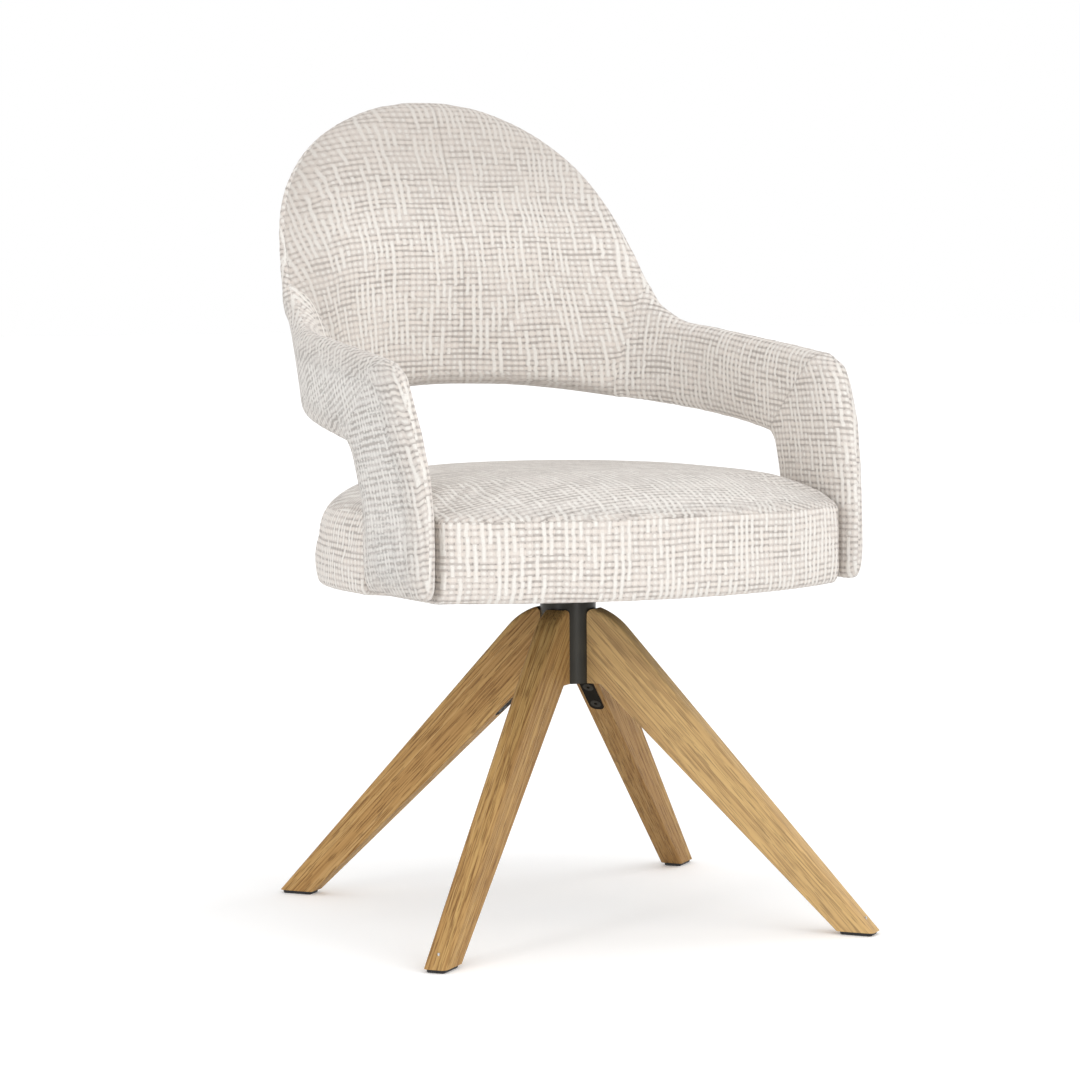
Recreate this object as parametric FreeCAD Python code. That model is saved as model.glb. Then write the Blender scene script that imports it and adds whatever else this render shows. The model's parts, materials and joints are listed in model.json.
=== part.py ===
"""Upholstered swivel armchair on four splayed oak legs.

Millimetres, +Z up. The origin is on the floor, on the axis that the seat turns about.
The sitter faces -Y. The right-hand pieces are those on the +X side.
"""
import FreeCAD
import Part
import math
import os

# Swivel at rest
base_turn = -6.0              # the legs' turn against the seat, degrees

# Gaps and fits
cloth_gap = 0.3               # between soft pieces and what they lie on
running_clearance = 0.05      # radial, shaft in bush
hole_clearance = 0.2          # radial, fastener in its hole
slip_gap = 0.5                # between the turning seat and the standing hub
cut_past = 1.0                # how far a cutting shape reaches past a face
tolerance = 0.01
upright_share = 0.9           # least rise of an edge's direction that counts as upright

# Legs
leg_thickness = 26.0
leg_top = 333.6               # at the tube's wall
leg_top_slope = 20.0          # degrees below level, beside the tube
leg_shoulder_radius = 7.0
leg_outer_slope = 47.6        # degrees below level, outer face
leg_inner_slope = 43.1        # degrees below level, inner face
foot_reach = 347.0            # from the axis to the foot's outer edge
foot_length = 41.0            # foot, along the floor
knee_radius = 76.0
outer_edge_radius = 5.5
inner_edge_radius = 2.5
leg_names = {"rear_right": 45.0, "rear_left": 135.0, "front_left": 225.0, "front_right": 315.0}

# Foot glides
glide_thickness = 3.8
glide_inset = 3.0
glide_edge = 1.0
glide_nail_radius = 1.25
glide_nail_length = 16.0
glide_nail_head = 3.5
glide_nail_head_height = 1.0
glide_nail_cover = 1.0        # glide left above the nail's head

# Hub
tube_radius = 30.0
tube_wall = 3.0
tube_bottom = 252.0
tube_top = 336.0
hub_plate_thickness = 6.0
lower_plate_height = 14.0     # above the tube's bottom edge
spindle_radius = 12.5
bush_wall = 2.5
bush_flange_radius = 20.0
bush_flange_thickness = 2.0
washer_thickness = 3.0
washer_inset = 1.0
collar_chamfer = 1.0
clip_thickness = 2.0
clip_radius = 17.0
groove_depth = 1.5
spindle_tail = 3.0            # below the clip's groove
end_cap_thickness = 2.0
end_cap_skirt = 5.0
end_cap_wall = 1.5

# Straps let into the legs' undersides
strap_width = 17.0
strap_thickness = 4.0
strap_length = 60.0           # along the sloping face
strap_end_radius = 7.0
strap_screw_radius = 3.0
strap_screw_head = 6.0
strap_screw_length = 18.0
strap_screw_places = (20.0, 50.0)   # along the sloping face
socket_radius = 2.0
socket_depth = 2.0

# Seat plan
seat_half_width = 263.0
seat_side_front = -155.0      # where the side meets the bowed front
seat_front = -246.0           # the bow's middle
seat_rear_centre = 22.0       # centre of the round rear
cushion_front_half = 237.0    # between the arm posts
seat_bottom = 358.0
cushion_side = 14.0           # cushion wall beside the board

# Seat's rise, from the bottom edge to the crown
seat_height = 124.0
seat_bottom_radius = 14.0
seat_shoulder_height = 44.0   # where the sides start to draw in
seat_seam_height = 84.0       # sewn edge along the front of the top panel
seat_side_powers = (3.0, 4.0)
seat_front_powers = (2.0, 3.0)
seat_bottom_steps = 4
seat_top_steps = 12
seat_crown_at = 12.5          # steps from the shoulder to the very crown

# Seat board and what hangs under it
board_bottom = 366.0
board_thickness = 18.0
dust_cover_thickness = 1.0
dust_cover_inset = 1.0
plate_half = 90.0
plate_thickness = 5.0
plate_corner = 12.0
plate_bolt_spacing = 140.0
plate_bolt_radius = 4.0
plate_bolt_head = 7.5
plate_bolt_socket = 2.5
plate_bolt_length = 22.0
plate_bolt_head_height = 3.0
tee_nut_radius = 6.0
tee_nut_flange = 11.0
tee_nut_flange_thickness = 1.5
tee_nut_length = 11.0

# Arms and back, seen from above: the middle line of the band
back_middle = 268.0           # from the axis to the middle of the back, along Y
back_plan_radius = 500.0
back_plan_turn = 13.65        # degrees, where the back's curve meets the corner's
corner_plan_radius = 172.0
arm_flare = 3.0               # degrees, arms open towards the front

# Arms
arm_half_thickness = 17.5
arm_fullness = 0.6            # how far the padded faces swell between their edges
post_half_thickness = 14.5
arm_low_centre = 565.0        # height of the band's lower edge at the back's middle
arm_low_drop = 51.0           # down to the opening's front corner
arm_low_power = 1.3
arm_top_at_axis = 616.0
arm_top_slope = 0.119
notch_start = 145.0           # where the arm's top edge starts to rise into the back
notch_reach = 35.0
notch_rise = 30.5
band_tuck = 12.0              # how far the band's lower edge is drawn in at the rear corners
band_tuck_top = 640.0
arm_lean_end = 0.35           # share of the arm's length over which the back's lean fades out
arm_seam_low = 195.0          # along the band, from the back's middle to the seam's lower end
arm_seam_high = 250.0         # and to its upper end
arm_straight = 395.0          # along the band, to where the sections stand upright
arm_steps = 12

# Front corner of the arm and the post, in side view: (y, z) of the opening's edge and of the front edge
arm_end = ((-5.0, 515.0), (-50.0, 610.5))
mitre = ((-19.0, 512.0), (-106.0, 603.0))
post_head = (((-22.0, 506.0), (-132.0, 591.0)), ((-24.5, 500.0), (-143.0, 573.0)))
post_stem = (((-28.0, 490.0), (-161.0, 533.0)), ((-33.0, 470.0), (-174.5, 489.0)),
             ((-37.0, 445.0), (-180.5, 447.0)))
post_foot = (((-39.0, 420.0), (-181.5, 420.0)), ((-40.0, 392.0), (-181.0, 392.0)))
post_hem = (((-41.0, 376.0), (-179.5, 376.0)), ((-43.0, 366.5), (-177.0, 366.5)),
            ((-46.0, 363.0), (-174.0, 363.0)))
post_middle = 252.5           # x of the post's middle where it stands beside the seat
post_middle_from = 447.0      # height below which the post stands upright
post_outer_hem = (12.5, 7.5, 3.0)   # outer half thickness of the three hem sections
post_inner_hem = (14.5, 13.0, 10.0)

# Back
back_bottom = 546.0
back_round_centre = 658.0     # height of the widest place of the round part
back_round_rise = 230.0
back_round_half = 252.0       # along the band's line, as are the next three
back_round_power = 1.92
back_lower_flare = 60.0       # the lower part spreads, and the arms' seams cut it off
back_knee = 118.0             # place, out from the middle, where two arcs of a level section meet
back_knee_share = 0.6         # or this share of the half length, where that is less
back_least_full = 0.55        # share of a section's half length with the full thickness, at the crown
back_edge_radius = 19.0
back_flank = 18.0             # half thickness near the edges
back_lean_from = 545.0
back_lean_to = 785.0
back_lean = 76.0
back_centre_lean_from = 712.0
back_centre_lean_slope = 0.42
back_front_pad = 23.5         # in front of the middle line, at the back's centre
back_rear_pad = 23.0
back_low_steps = 4
back_round_steps = 11
back_round_last = 84.0        # degrees

# Frame inside the arms and back
core_half_thickness = 4.5
core_inset = 16.0
back_core_side = 8.0
back_core_top = 838.0
back_core_bottom = 585.0
dowel_radius = 3.0
dowel_length = 28.0
dowel_place = 52.0            # from each edge of the band, along the joint

# Brackets from the arm frames to the seat board
bracket_width = 64.0
bracket_middle = -110.0
bracket_thickness = 4.0
bracket_height = 66.0
bracket_foot = 62.0
bracket_screw_radius = 2.0
bracket_screw_head = 3.9
bracket_screw_length = 13.0
bracket_side_screw_length = 8.0
bracket_screw_spacing = 36.0
bracket_side_rise = 40.0      # side screws above the bracket's foot
bracket_foot_screw_inset = 30.0

smallest_slope = 1e-6
search_step = 0.001

axis_up = FreeCAD.Vector(0, 0, 1)
origin = FreeCAD.Vector(0, 0, 0)


def point(x, y, z):
    return FreeCAD.Vector(x, y, z)


def segment(a, b):
    return Part.LineSegment(a, b).toShape()


def arc(a, middle, b):
    return Part.Arc(a, middle, b).toShape()


def disc(radius, low, high, x=0.0, y=0.0):
    return Part.makeCylinder(radius, high - low, point(x, y, low))


def ring(outer, inner, low, high):
    return disc(outer, low, high).cut(disc(inner, low, high))


def block(low, high):
    size = high - low
    return Part.makeBox(size.x, size.y, size.z, low)


def mirrored(shape):
    return shape.mirror(origin, FreeCAD.Vector(1, 0, 0))


def group(shapes):
    return Part.makeCompound(shapes)


def turned(shape, angle):
    copy = shape.copy()
    copy.rotate(origin, axis_up, angle)
    return copy


def one_solid(shape):
    """The shape as a plain solid where it is one, for a clean file."""
    if len(shape.Solids) == 1:
        return shape.Solids[0]
    return shape


def save(name, shape):
    shape = one_solid(shape)
    shape.exportStep(os.path.join("parts", name + ".step"))
    report = (name, len(shape.Solids), shape.Volume, shape.isValid())
    print("%-22s solids %2d  volume %10.0f  valid %s" % report)


def eased(value, low, high):
    """0 below low, 1 above high, and a smooth rise between them."""
    t = min(1.0, max(0.0, (value - low) / (high - low)))
    return t * t * (3.0 - 2.0 * t)


def upright_edges(shape):
    return [e for e in shape.Edges if abs(e.tangentAt(e.FirstParameter).z) > upright_share]


def screw(head, direction, length, radius, head_radius):
    """Countersunk screw: head is the middle of its flat face, direction points along the shank."""
    cone_height = head_radius - radius
    cone = Part.makeCone(head_radius, radius, cone_height, head, direction)
    shank = Part.makeCylinder(radius, length, head, direction)
    socket = Part.makeCylinder(min(socket_radius, radius), min(socket_depth, cone_height), head, direction)
    return cone.fuse(shank).cut(socket).removeSplitter()


def screw_hole(head, direction, length, radius, head_radius):
    start = head - direction * hole_clearance
    wide = head_radius + 2.0 * hole_clearance
    narrow = radius + hole_clearance
    cone = Part.makeCone(wide, narrow, wide - narrow, start, direction)
    shank = Part.makeCylinder(narrow, length + 2.0 * hole_clearance, start, direction)
    return cone.fuse(shank)


# Legs, straps and glides, each made along +X and then turned to its place

inner_fall = math.tan(math.radians(leg_inner_slope))
outer_fall = math.tan(math.radians(leg_outer_slope))
top_fall = math.tan(math.radians(leg_top_slope))
knee_reach = (glide_thickness + foot_reach * outer_fall - leg_top - tube_radius * top_fall) \
    / (outer_fall - top_fall)
shoulder_reach = math.sqrt(tube_radius ** 2 - (leg_thickness / 2.0) ** 2)
foot_inner = foot_reach - foot_length
bend_reach = foot_inner - (tube_bottom - glide_thickness) / inner_fall
slope_down = point(math.cos(math.radians(leg_inner_slope)), 0, -math.sin(math.radians(leg_inner_slope)))
slope_in = point(-slope_down.z, 0, slope_down.x)     # square to the sloping face, into the leg
slope_start = point(bend_reach, 0, tube_bottom)
tube_inner = tube_radius - tube_wall


def rounded(before, corner, after, radius):
    """Start, middle and end of the arc that rounds a corner of an outline."""
    back = (before - corner).normalize()
    ahead = (after - corner).normalize()
    half = back.getAngle(ahead) / 2.0
    reach = radius / math.tan(half)
    centre = corner + (back + ahead).normalize() * (radius / math.sin(half))
    middle = centre + (corner - centre).normalize() * radius
    return corner + back * reach, middle, corner + ahead * reach


def leg_profile():
    """The leg's side view, from the hub's axis to the foot."""
    top = point(0, 0, leg_top + tube_radius * top_fall)
    knee = point(knee_reach, 0, top.z - knee_reach * top_fall)
    toe = point(foot_reach, 0, glide_thickness)
    heel = point(foot_inner, 0, glide_thickness)
    bottom = point(0, 0, tube_bottom)
    start, middle, end = rounded(top, knee, toe, knee_radius)
    edges = [segment(top, start), arc(start, middle, end), segment(end, toe), segment(toe, heel),
             segment(heel, slope_start), segment(slope_start, bottom), segment(bottom, top)]
    return Part.Face(Part.Wire(edges))


def leg_shoulder():
    """What the rounding takes off the leg's top corner beside the tube."""
    corner = point(shoulder_reach, 0, leg_top + (tube_radius - shoulder_reach) * top_fall)
    below = point(shoulder_reach, 0, tube_bottom)
    ahead = point(knee_reach, 0, corner.z - (knee_reach - shoulder_reach) * top_fall)
    start, middle, end = rounded(below, corner, ahead, leg_shoulder_radius)
    above = leg_top + leg_shoulder_radius
    edges = [arc(start, middle, end), segment(end, point(end.x, 0, above)),
             segment(point(end.x, 0, above), point(0, 0, above)), segment(point(0, 0, above), point(0, 0, start.z)),
             segment(point(0, 0, start.z), start)]
    body = Part.Face(Part.Wire(edges)).extrude(FreeCAD.Vector(0, tube_radius * 2.0, 0))
    body.translate(FreeCAD.Vector(0, -tube_radius, 0))
    return body


def on_side_face(edge):
    return all(abs(abs(v.Y) - leg_thickness / 2.0) < tolerance for v in edge.Vertexes)


def above_inner_face(edge):
    """True for the edges of the leg's outer face: the sloping top, the knee and the long slope."""
    middle = edge.valueAt((edge.FirstParameter + edge.LastParameter) / 2.0)
    height = (middle - slope_start).dot(slope_in)
    return height > strap_width / 2.0 and middle.z > glide_thickness + outer_edge_radius


def strap_screw_heads():
    for place in strap_screw_places:
        yield slope_start + slope_down * place


def leg():
    side = FreeCAD.Vector(0, leg_thickness, 0)
    body = leg_profile().extrude(side)
    body.translate(FreeCAD.Vector(0, -leg_thickness / 2.0, 0))
    outer = [e for e in body.Edges if on_side_face(e) and above_inner_face(e)]
    body = body.makeFillet(outer_edge_radius, outer)
    lower = [e for e in body.Edges
             if on_side_face(e) and not above_inner_face(e) and e.Length > foot_reach / 2.0]
    body = body.makeFillet(inner_edge_radius, lower)
    body = body.cut(disc(tube_radius, 0, leg_top + tube_radius)).cut(leg_shoulder())
    body = body.cut(strap_blank(hole_clearance, cut_past))
    for head in strap_screw_heads():
        body = body.cut(screw_hole(head, slope_in, strap_screw_length, strap_screw_radius, strap_screw_head))
    for x in glide_nail_places():
        hole_top = glide_thickness + glide_nail_length
        body = body.cut(disc(glide_nail_radius + running_clearance, 0, hole_top, x))
    return body


def strap_blank(gap, past):
    """Flat steel in the leg's underside: level from the tube, then down along the sloping face.

    As a groove it is wider and longer by the gap, and reaches past the leg's faces.
    """
    def bend(depth):
        shift = depth * math.tan(math.radians(leg_inner_slope / 2.0))
        return point(bend_reach + shift, 0, tube_bottom + depth)

    end = slope_start + slope_down * (strap_length + gap)
    outline = [point(tube_inner, 0, tube_bottom - past), bend(-past), end - slope_in * past,
               end + slope_in * strap_thickness, bend(strap_thickness),
               point(tube_inner, 0, tube_bottom + strap_thickness)]
    width = strap_width + 2.0 * gap
    body = Part.Face(Part.makePolygon(outline + outline[:1])).extrude(FreeCAD.Vector(0, width, 0))
    body.translate(FreeCAD.Vector(0, -width / 2.0, 0))
    corners = [e for e in body.Edges if abs(e.tangentAt(e.FirstParameter).dot(slope_in)) > upright_share
               and (e.CenterOfMass - end).Length < width]
    return body.makeFillet(strap_end_radius + gap, corners)


def strap():
    body = strap_blank(0.0, 0.0).cut(disc(tube_radius, tube_bottom, tube_top))
    for head in strap_screw_heads():
        body = body.cut(screw_hole(head, slope_in, strap_screw_length, strap_screw_radius, strap_screw_head))
    return body


def glide_nail_places():
    middle = foot_reach - foot_length / 2.0
    return (middle - foot_length / 5.0, middle + foot_length / 5.0)


def glide():
    low = point(foot_inner + glide_inset, -leg_thickness / 2.0 + glide_inset, 0)
    high = point(foot_reach - glide_inset, leg_thickness / 2.0 - glide_inset, glide_thickness)
    body = block(low, high)
    body = body.makeFillet(glide_inset, upright_edges(body))
    floor_edges = [e for e in body.Edges if e.BoundBox.ZMax < glide_thickness / 2.0]
    body = body.makeChamfer(glide_edge, floor_edges)
    for x in glide_nail_places():
        body = body.cut(nail_recess(x))
    return body


def nail(x):
    """Glide nail: its head is let into the glide, clear of the floor."""
    head_top = glide_thickness - glide_nail_cover
    head_low = head_top - glide_nail_head_height
    shank = disc(glide_nail_radius, head_low, head_top + glide_nail_length, x)
    return disc(glide_nail_head, head_low, head_top, x).fuse(shank).removeSplitter()


def nail_recess(x):
    """Open at the floor side, and the nail's head bears on its end."""
    head = disc(glide_nail_head + hole_clearance, 0, glide_thickness - glide_nail_cover, x)
    return head.fuse(disc(glide_nail_radius + hole_clearance, 0, glide_thickness, x))


# Hub and swivel, stacked from the tube's bottom edge up

plate_top = tube_top + hub_plate_thickness
lower_plate_low = tube_bottom + lower_plate_height
lower_plate_high = lower_plate_low + hub_plate_thickness
bush_outer = spindle_radius + bush_wall
washer_top = plate_top + washer_thickness
swivel_plate_top = board_bottom - dust_cover_thickness
swivel_plate_low = swivel_plate_top - plate_thickness
clip_top = lower_plate_low - bush_flange_thickness - slip_gap
clip_low = clip_top - clip_thickness
spindle_low = clip_low - spindle_tail


def hub_tube():
    return ring(tube_radius, tube_inner, tube_bottom, tube_top)


def hub_top_plate():
    return ring(tube_radius, bush_outer, tube_top, plate_top)


def hub_lower_plate():
    return ring(tube_inner - running_clearance, bush_outer, lower_plate_low, lower_plate_high)


def bush(low, high, flange_low):
    """Flanged bush in a plate that spans low to high."""
    sleeve = disc(bush_outer - running_clearance, low, high)
    flange = disc(bush_flange_radius, flange_low, flange_low + bush_flange_thickness)
    body = sleeve.fuse(flange).cut(disc(spindle_radius + running_clearance, flange_low, high))
    return body.removeSplitter()


def upper_bush():
    """Its flange bears on the underside of the top plate."""
    return bush(tube_top, plate_top, tube_top - bush_flange_thickness)


def lower_bush():
    return bush(lower_plate_low, lower_plate_high, lower_plate_low - bush_flange_thickness)


def thrust_washer():
    return ring(tube_radius - washer_inset, spindle_radius + slip_gap, plate_top, washer_top)


def end_cap():
    outer = tube_inner - running_clearance
    plug = disc(outer, tube_bottom, tube_bottom + end_cap_skirt)
    return plug.cut(disc(outer - end_cap_wall, tube_bottom + end_cap_thickness, tube_bottom + end_cap_skirt))


def spindle():
    body = disc(spindle_radius, spindle_low, swivel_plate_low)
    groove = ring(clip_radius, spindle_radius - groove_depth, clip_low, clip_top)
    return body.cut(groove)


def retaining_clip():
    """Open ring in the spindle's groove, under the lower bush."""
    inner = spindle_radius - groove_depth
    body = ring(clip_radius, inner, clip_low, clip_top)
    mouth = block(point(0, -inner / 2.0, clip_low), point(clip_radius * 2.0, inner / 2.0, clip_top))
    return body.cut(mouth)


def collar():
    """Turned ring between the washer and the mounting plate, around the spindle."""
    low = washer_top + slip_gap / 2.0
    body = ring(tube_radius, spindle_radius, low, swivel_plate_low)
    rim = [e for e in body.Edges if e.BoundBox.ZMax < low + tolerance and e.BoundBox.XMax > bush_outer]
    return body.makeChamfer(collar_chamfer, rim)


def bolt_places():
    half = plate_bolt_spacing / 2.0
    return [(x, y) for x in (-half, half) for y in (-half, half)]


def mounting_plate():
    low = point(-plate_half, -plate_half, swivel_plate_low)
    body = block(low, point(plate_half, plate_half, swivel_plate_top))
    body = body.makeFillet(plate_corner, upright_edges(body))
    for x, y in bolt_places():
        body = body.cut(disc(plate_bolt_radius + hole_clearance, swivel_plate_low, swivel_plate_top, x, y))
    return body


def plate_bolt(x, y):
    head_low = swivel_plate_low - plate_bolt_head_height
    head = disc(plate_bolt_head, head_low, swivel_plate_low, x, y)
    head = head.cut(disc(plate_bolt_socket, head_low, head_low + socket_depth, x, y))
    shank = disc(plate_bolt_radius, swivel_plate_low, swivel_plate_low + plate_bolt_length, x, y)
    return head.fuse(shank).removeSplitter()


def tee_nut(x, y):
    """Its flange sits on the board's top, let in flush."""
    top = board_bottom + board_thickness
    sleeve = disc(tee_nut_radius, top - tee_nut_length, top, x, y)
    flange = disc(tee_nut_flange, top - tee_nut_flange_thickness, top, x, y)
    body = sleeve.fuse(flange).cut(disc(plate_bolt_radius + running_clearance, swivel_plate_low, top, x, y))
    return body.removeSplitter()


def tee_nut_hole(x, y):
    top = board_bottom + board_thickness
    under_sleeve = top - tee_nut_length - running_clearance
    under_flange = top - tee_nut_flange_thickness - running_clearance
    sleeve = disc(tee_nut_radius + running_clearance, under_sleeve, top, x, y)
    flange = disc(tee_nut_flange + hole_clearance, under_flange, top, x, y)
    bolt = disc(plate_bolt_radius + hole_clearance, board_bottom, top, x, y)
    return sleeve.fuse(flange).fuse(bolt)


# Seat: cushion, board and dust cover

def seat_outline(front_inset, side_inset, height):
    """Bowed front, straight sides and a round rear."""
    half = seat_half_width - side_inset
    corner_y = seat_side_front + front_inset
    front_left = point(-half, corner_y, height)
    front_right = point(half, corner_y, height)
    front_middle = point(0, seat_front + front_inset, height)
    rear_left = point(-half, seat_rear_centre, height)
    rear_right = point(half, seat_rear_centre, height)
    rear_middle = point(0, seat_rear_centre + half, height)
    lean = half * math.sqrt(0.5)
    return Part.Wire([
        arc(front_left, front_middle, front_right),
        segment(front_right, rear_right),
        arc(rear_right, point(lean, seat_rear_centre + lean, height), rear_middle),
        arc(rear_middle, point(-lean, seat_rear_centre + lean, height), rear_left),
        segment(rear_left, front_left)])


def drawn_in(height, start, length, powers):
    """How far the cover is drawn in at a height, where it rises from start to the crown over a length."""
    share = min(1.0, max(0.0, (height - start) / (seat_height - start)))
    rise_power, reach_power = powers
    return length * (1.0 - (1.0 - share ** rise_power) ** (1.0 / reach_power))


def seat_section(height):
    under = max(0.0, seat_bottom_radius - height)
    edge = seat_bottom_radius - math.sqrt(seat_bottom_radius ** 2 - under ** 2)
    front = edge + drawn_in(height, seat_seam_height, -seat_front, seat_front_powers)
    side = edge + drawn_in(height, seat_shoulder_height, seat_half_width, seat_side_powers)
    return seat_outline(front, side, seat_bottom + height)


def seat_dome():
    """The whole upholstered seat, before the arm posts are let into its sides."""
    heights = []
    for step in range(seat_bottom_steps):
        heights.append(seat_bottom_radius * (step / (seat_bottom_steps - 1.0)) ** 2)
    for step in range(seat_top_steps):
        share = 1.0 - (1.0 - step / seat_crown_at) ** 2
        heights.append(seat_shoulder_height + (seat_height - seat_shoulder_height) * share)
    return Part.makeLoft([seat_section(height) for height in heights], True, True)


def post_recess(gap):
    """The space beside the seat, on the right, that the arm post stands in, up its rear edge."""
    inside = cushion_front_half - gap
    rear = [low for low, _ in reversed(post_stem + post_foot)]
    outline = [point(inside, rear[0][0] + gap, seat_bottom - cut_past)]
    outline += [point(inside, y + gap, z) for y, z in rear]
    above = seat_bottom + seat_half_width
    outline += [point(inside, rear[-1][0] + gap, above), point(inside, seat_front, above),
                point(inside, seat_front, seat_bottom - cut_past), outline[0]]
    face = Part.Face(Part.makePolygon(outline))
    return face.extrude(FreeCAD.Vector(seat_half_width, 0, 0))


def board_shape(gap):
    """Plywood board: the seat's outline, set in by the cushion's wall, and narrow between the posts."""
    inset = cushion_side - gap
    face = Part.Face(seat_outline(inset, inset, board_bottom))
    body = face.extrude(FreeCAD.Vector(0, 0, board_thickness + gap))
    recess = post_recess(cushion_side - gap)
    return body.cut(recess).cut(mirrored(recess))


def seat_board():
    body = board_shape(0.0)
    for x, y in bolt_places():
        body = body.cut(tee_nut_hole(x, y))
    for tool in bracket_foot_tools():
        body = body.cut(tool)
    return body


def seat_cushion():
    recess = post_recess(cloth_gap)
    body = seat_dome().cut(recess).cut(mirrored(recess))
    pocket = board_shape(cloth_gap)
    below = board_shape(cloth_gap)
    below.translate(FreeCAD.Vector(0, 0, seat_bottom - board_bottom - cut_past))
    body = body.cut(pocket.fuse(below))
    slot = bracket_blank(cloth_gap)
    return body.cut(slot).cut(mirrored(slot))


def dust_cover():
    """Thin cloth under the board, cut away round the swivel's bolts."""
    inset = cushion_side + dust_cover_inset
    face = Part.Face(seat_outline(inset, inset, swivel_plate_top))
    body = face.extrude(FreeCAD.Vector(0, 0, dust_cover_thickness))
    recess = post_recess(inset)
    body = body.cut(recess).cut(mirrored(recess))
    for x, y in bolt_places():
        body = body.cut(disc(plate_bolt_radius + hole_clearance, swivel_plate_low, board_bottom, x, y))
    return body


# Plan line of the band that makes the arms and the back

back_centre_y = back_middle - back_plan_radius
turn_back = math.radians(back_plan_turn)
turn_arm = math.radians(90.0 - arm_flare)
corner_centre = point(math.sin(turn_back), math.cos(turn_back), 0) * (back_plan_radius - corner_plan_radius)
corner_centre = corner_centre + point(0, back_centre_y, 0)
corner_from = back_plan_radius * turn_back
corner_to = corner_from + corner_plan_radius * (turn_arm - turn_back)


def plan_at(along):
    """Point and outward direction of the band's middle line, at a length from the back's middle."""
    if along < corner_from:
        turn = along / back_plan_radius
        out = point(math.sin(turn), math.cos(turn), 0)
        return point(0, back_centre_y, 0) + out * back_plan_radius, out
    turn = min(turn_arm, turn_back + (along - corner_from) / corner_plan_radius)
    out = point(math.sin(turn), math.cos(turn), 0)
    ahead = point(out.y, -out.x, 0) * max(0.0, along - corner_to)
    return corner_centre + out * corner_plan_radius + ahead, out


def arm_line_at(y):
    """The same, for a place on the straight arm."""
    start, out = plan_at(corner_to)
    along = corner_to + (start.y - y) / out.x
    return plan_at(along)


def band_middle(along, height):
    """The band's middle and its outward direction: its lower edge is drawn in at the rear corners."""
    middle, out = plan_at(along)
    from_middle = eased(along, corner_from / 2.0, arm_seam_low)
    to_arm = 1.0 - eased(along, arm_seam_high, arm_straight)
    drop = max(0.0, (band_tuck_top - height) / (band_tuck_top - back_bottom))
    return middle - out * (band_tuck * from_middle * to_arm * drop), out


def arm_low(along):
    reach = corner_to + (plan_at(corner_to)[0].y - mitre[0][0])
    return arm_low_centre - arm_low_drop * (along / reach) ** arm_low_power


def arm_top(y):
    notch = max(0.0, (y - notch_start) / notch_reach)
    return arm_top_at_axis + arm_top_slope * y + notch_rise * notch * notch


def edge_lean(z):
    return back_lean * eased(z, back_lean_from, back_lean_to)


def half_thickness(z):
    growth = (arm_half_thickness - post_half_thickness) * eased(z, post_middle_from, arm_end[0][1])
    return post_half_thickness + growth


def post_x(y, z):
    """Middle of the arm line above, and upright beside the seat below."""
    line = arm_line_at(y)[0].x
    return post_middle + (line - post_middle) * eased(z, post_middle_from, mitre[1][1])


def arm_station(share):
    """Share 0 is the seam with the back, share 1 the place where the sections stand upright."""
    low_along = arm_seam_low + (arm_straight - arm_seam_low) * share
    high_along = arm_seam_high + (arm_straight - arm_seam_high) * share
    low_middle = band_middle(low_along, arm_low(low_along))[0]
    high_middle = plan_at(high_along)[0]
    out = plan_at((low_along + high_along) / 2.0)[1]
    top = arm_top(high_middle.y)
    fade = max(0.0, 1.0 - share / arm_lean_end) ** 2
    low = point(low_middle.x, low_middle.y, arm_low(low_along))
    high = point(high_middle.x, high_middle.y + edge_lean(top) * fade, top)
    across = section_axes(low, high, out)[1]
    middle = (low + high) / 2.0
    if fade > 0.0:
        on_back = back_place((low_along + high_along) / 2.0, middle.z, 0.0)
        middle = middle + across * ((on_back - middle).dot(across) * fade)
    return low, middle, high, out, arm_half_thickness, arm_half_thickness


def seam_cutter():
    """The space ahead of the seam between the back and the right arm."""
    low, _, high, out, half, _ = arm_station(0.0)
    up, across = section_axes(low, high, out)
    ahead = point(across.y, -across.x, 0)
    reach = (high - low).Length
    wide = across * (half * 4.0)
    start = low - up * reach
    end = high + up * half
    face = Part.Face(Part.makePolygon([start - wide, start + wide, end + wide, end - wide, start - wide]))
    body = face.extrude(ahead * reach)
    return body


def stations():
    """Low, middle and high point, outward direction, inner and outer half thickness, from rear to foot."""
    found = {"arm": [], "post": []}
    for step in range(arm_steps):
        found["arm"].append(arm_station(step / (arm_steps - 1.0)))
    for pair in (arm_end, mitre):
        found["arm"].append(side_station(pair))
    found["post"].append(found["arm"][-1])
    for pair in post_head + post_stem + post_foot:
        found["post"].append(side_station(pair))
    for pair, inner, outer in zip(post_hem, post_inner_hem, post_outer_hem):
        low, middle, high, out, _, _ = side_station(pair)
        found["post"].append((low, middle, high, out, inner, outer))
    return found


def side_station(pair):
    (low_y, low_z), (high_y, high_z) = pair
    low = point(post_x(low_y, low_z), low_y, low_z)
    high = point(post_x(high_y, high_z), high_y, high_z)
    half = half_thickness((low_z + high_z) / 2.0)
    return low, (low + high) / 2.0, high, arm_line_at(low_y)[1], half, half


def section_axes(low, high, out):
    """Direction from low to high, and the direction across it that points outward."""
    up = (high - low).normalize()
    across = (out - up * out.dot(up)).normalize()
    return up, across


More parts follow.
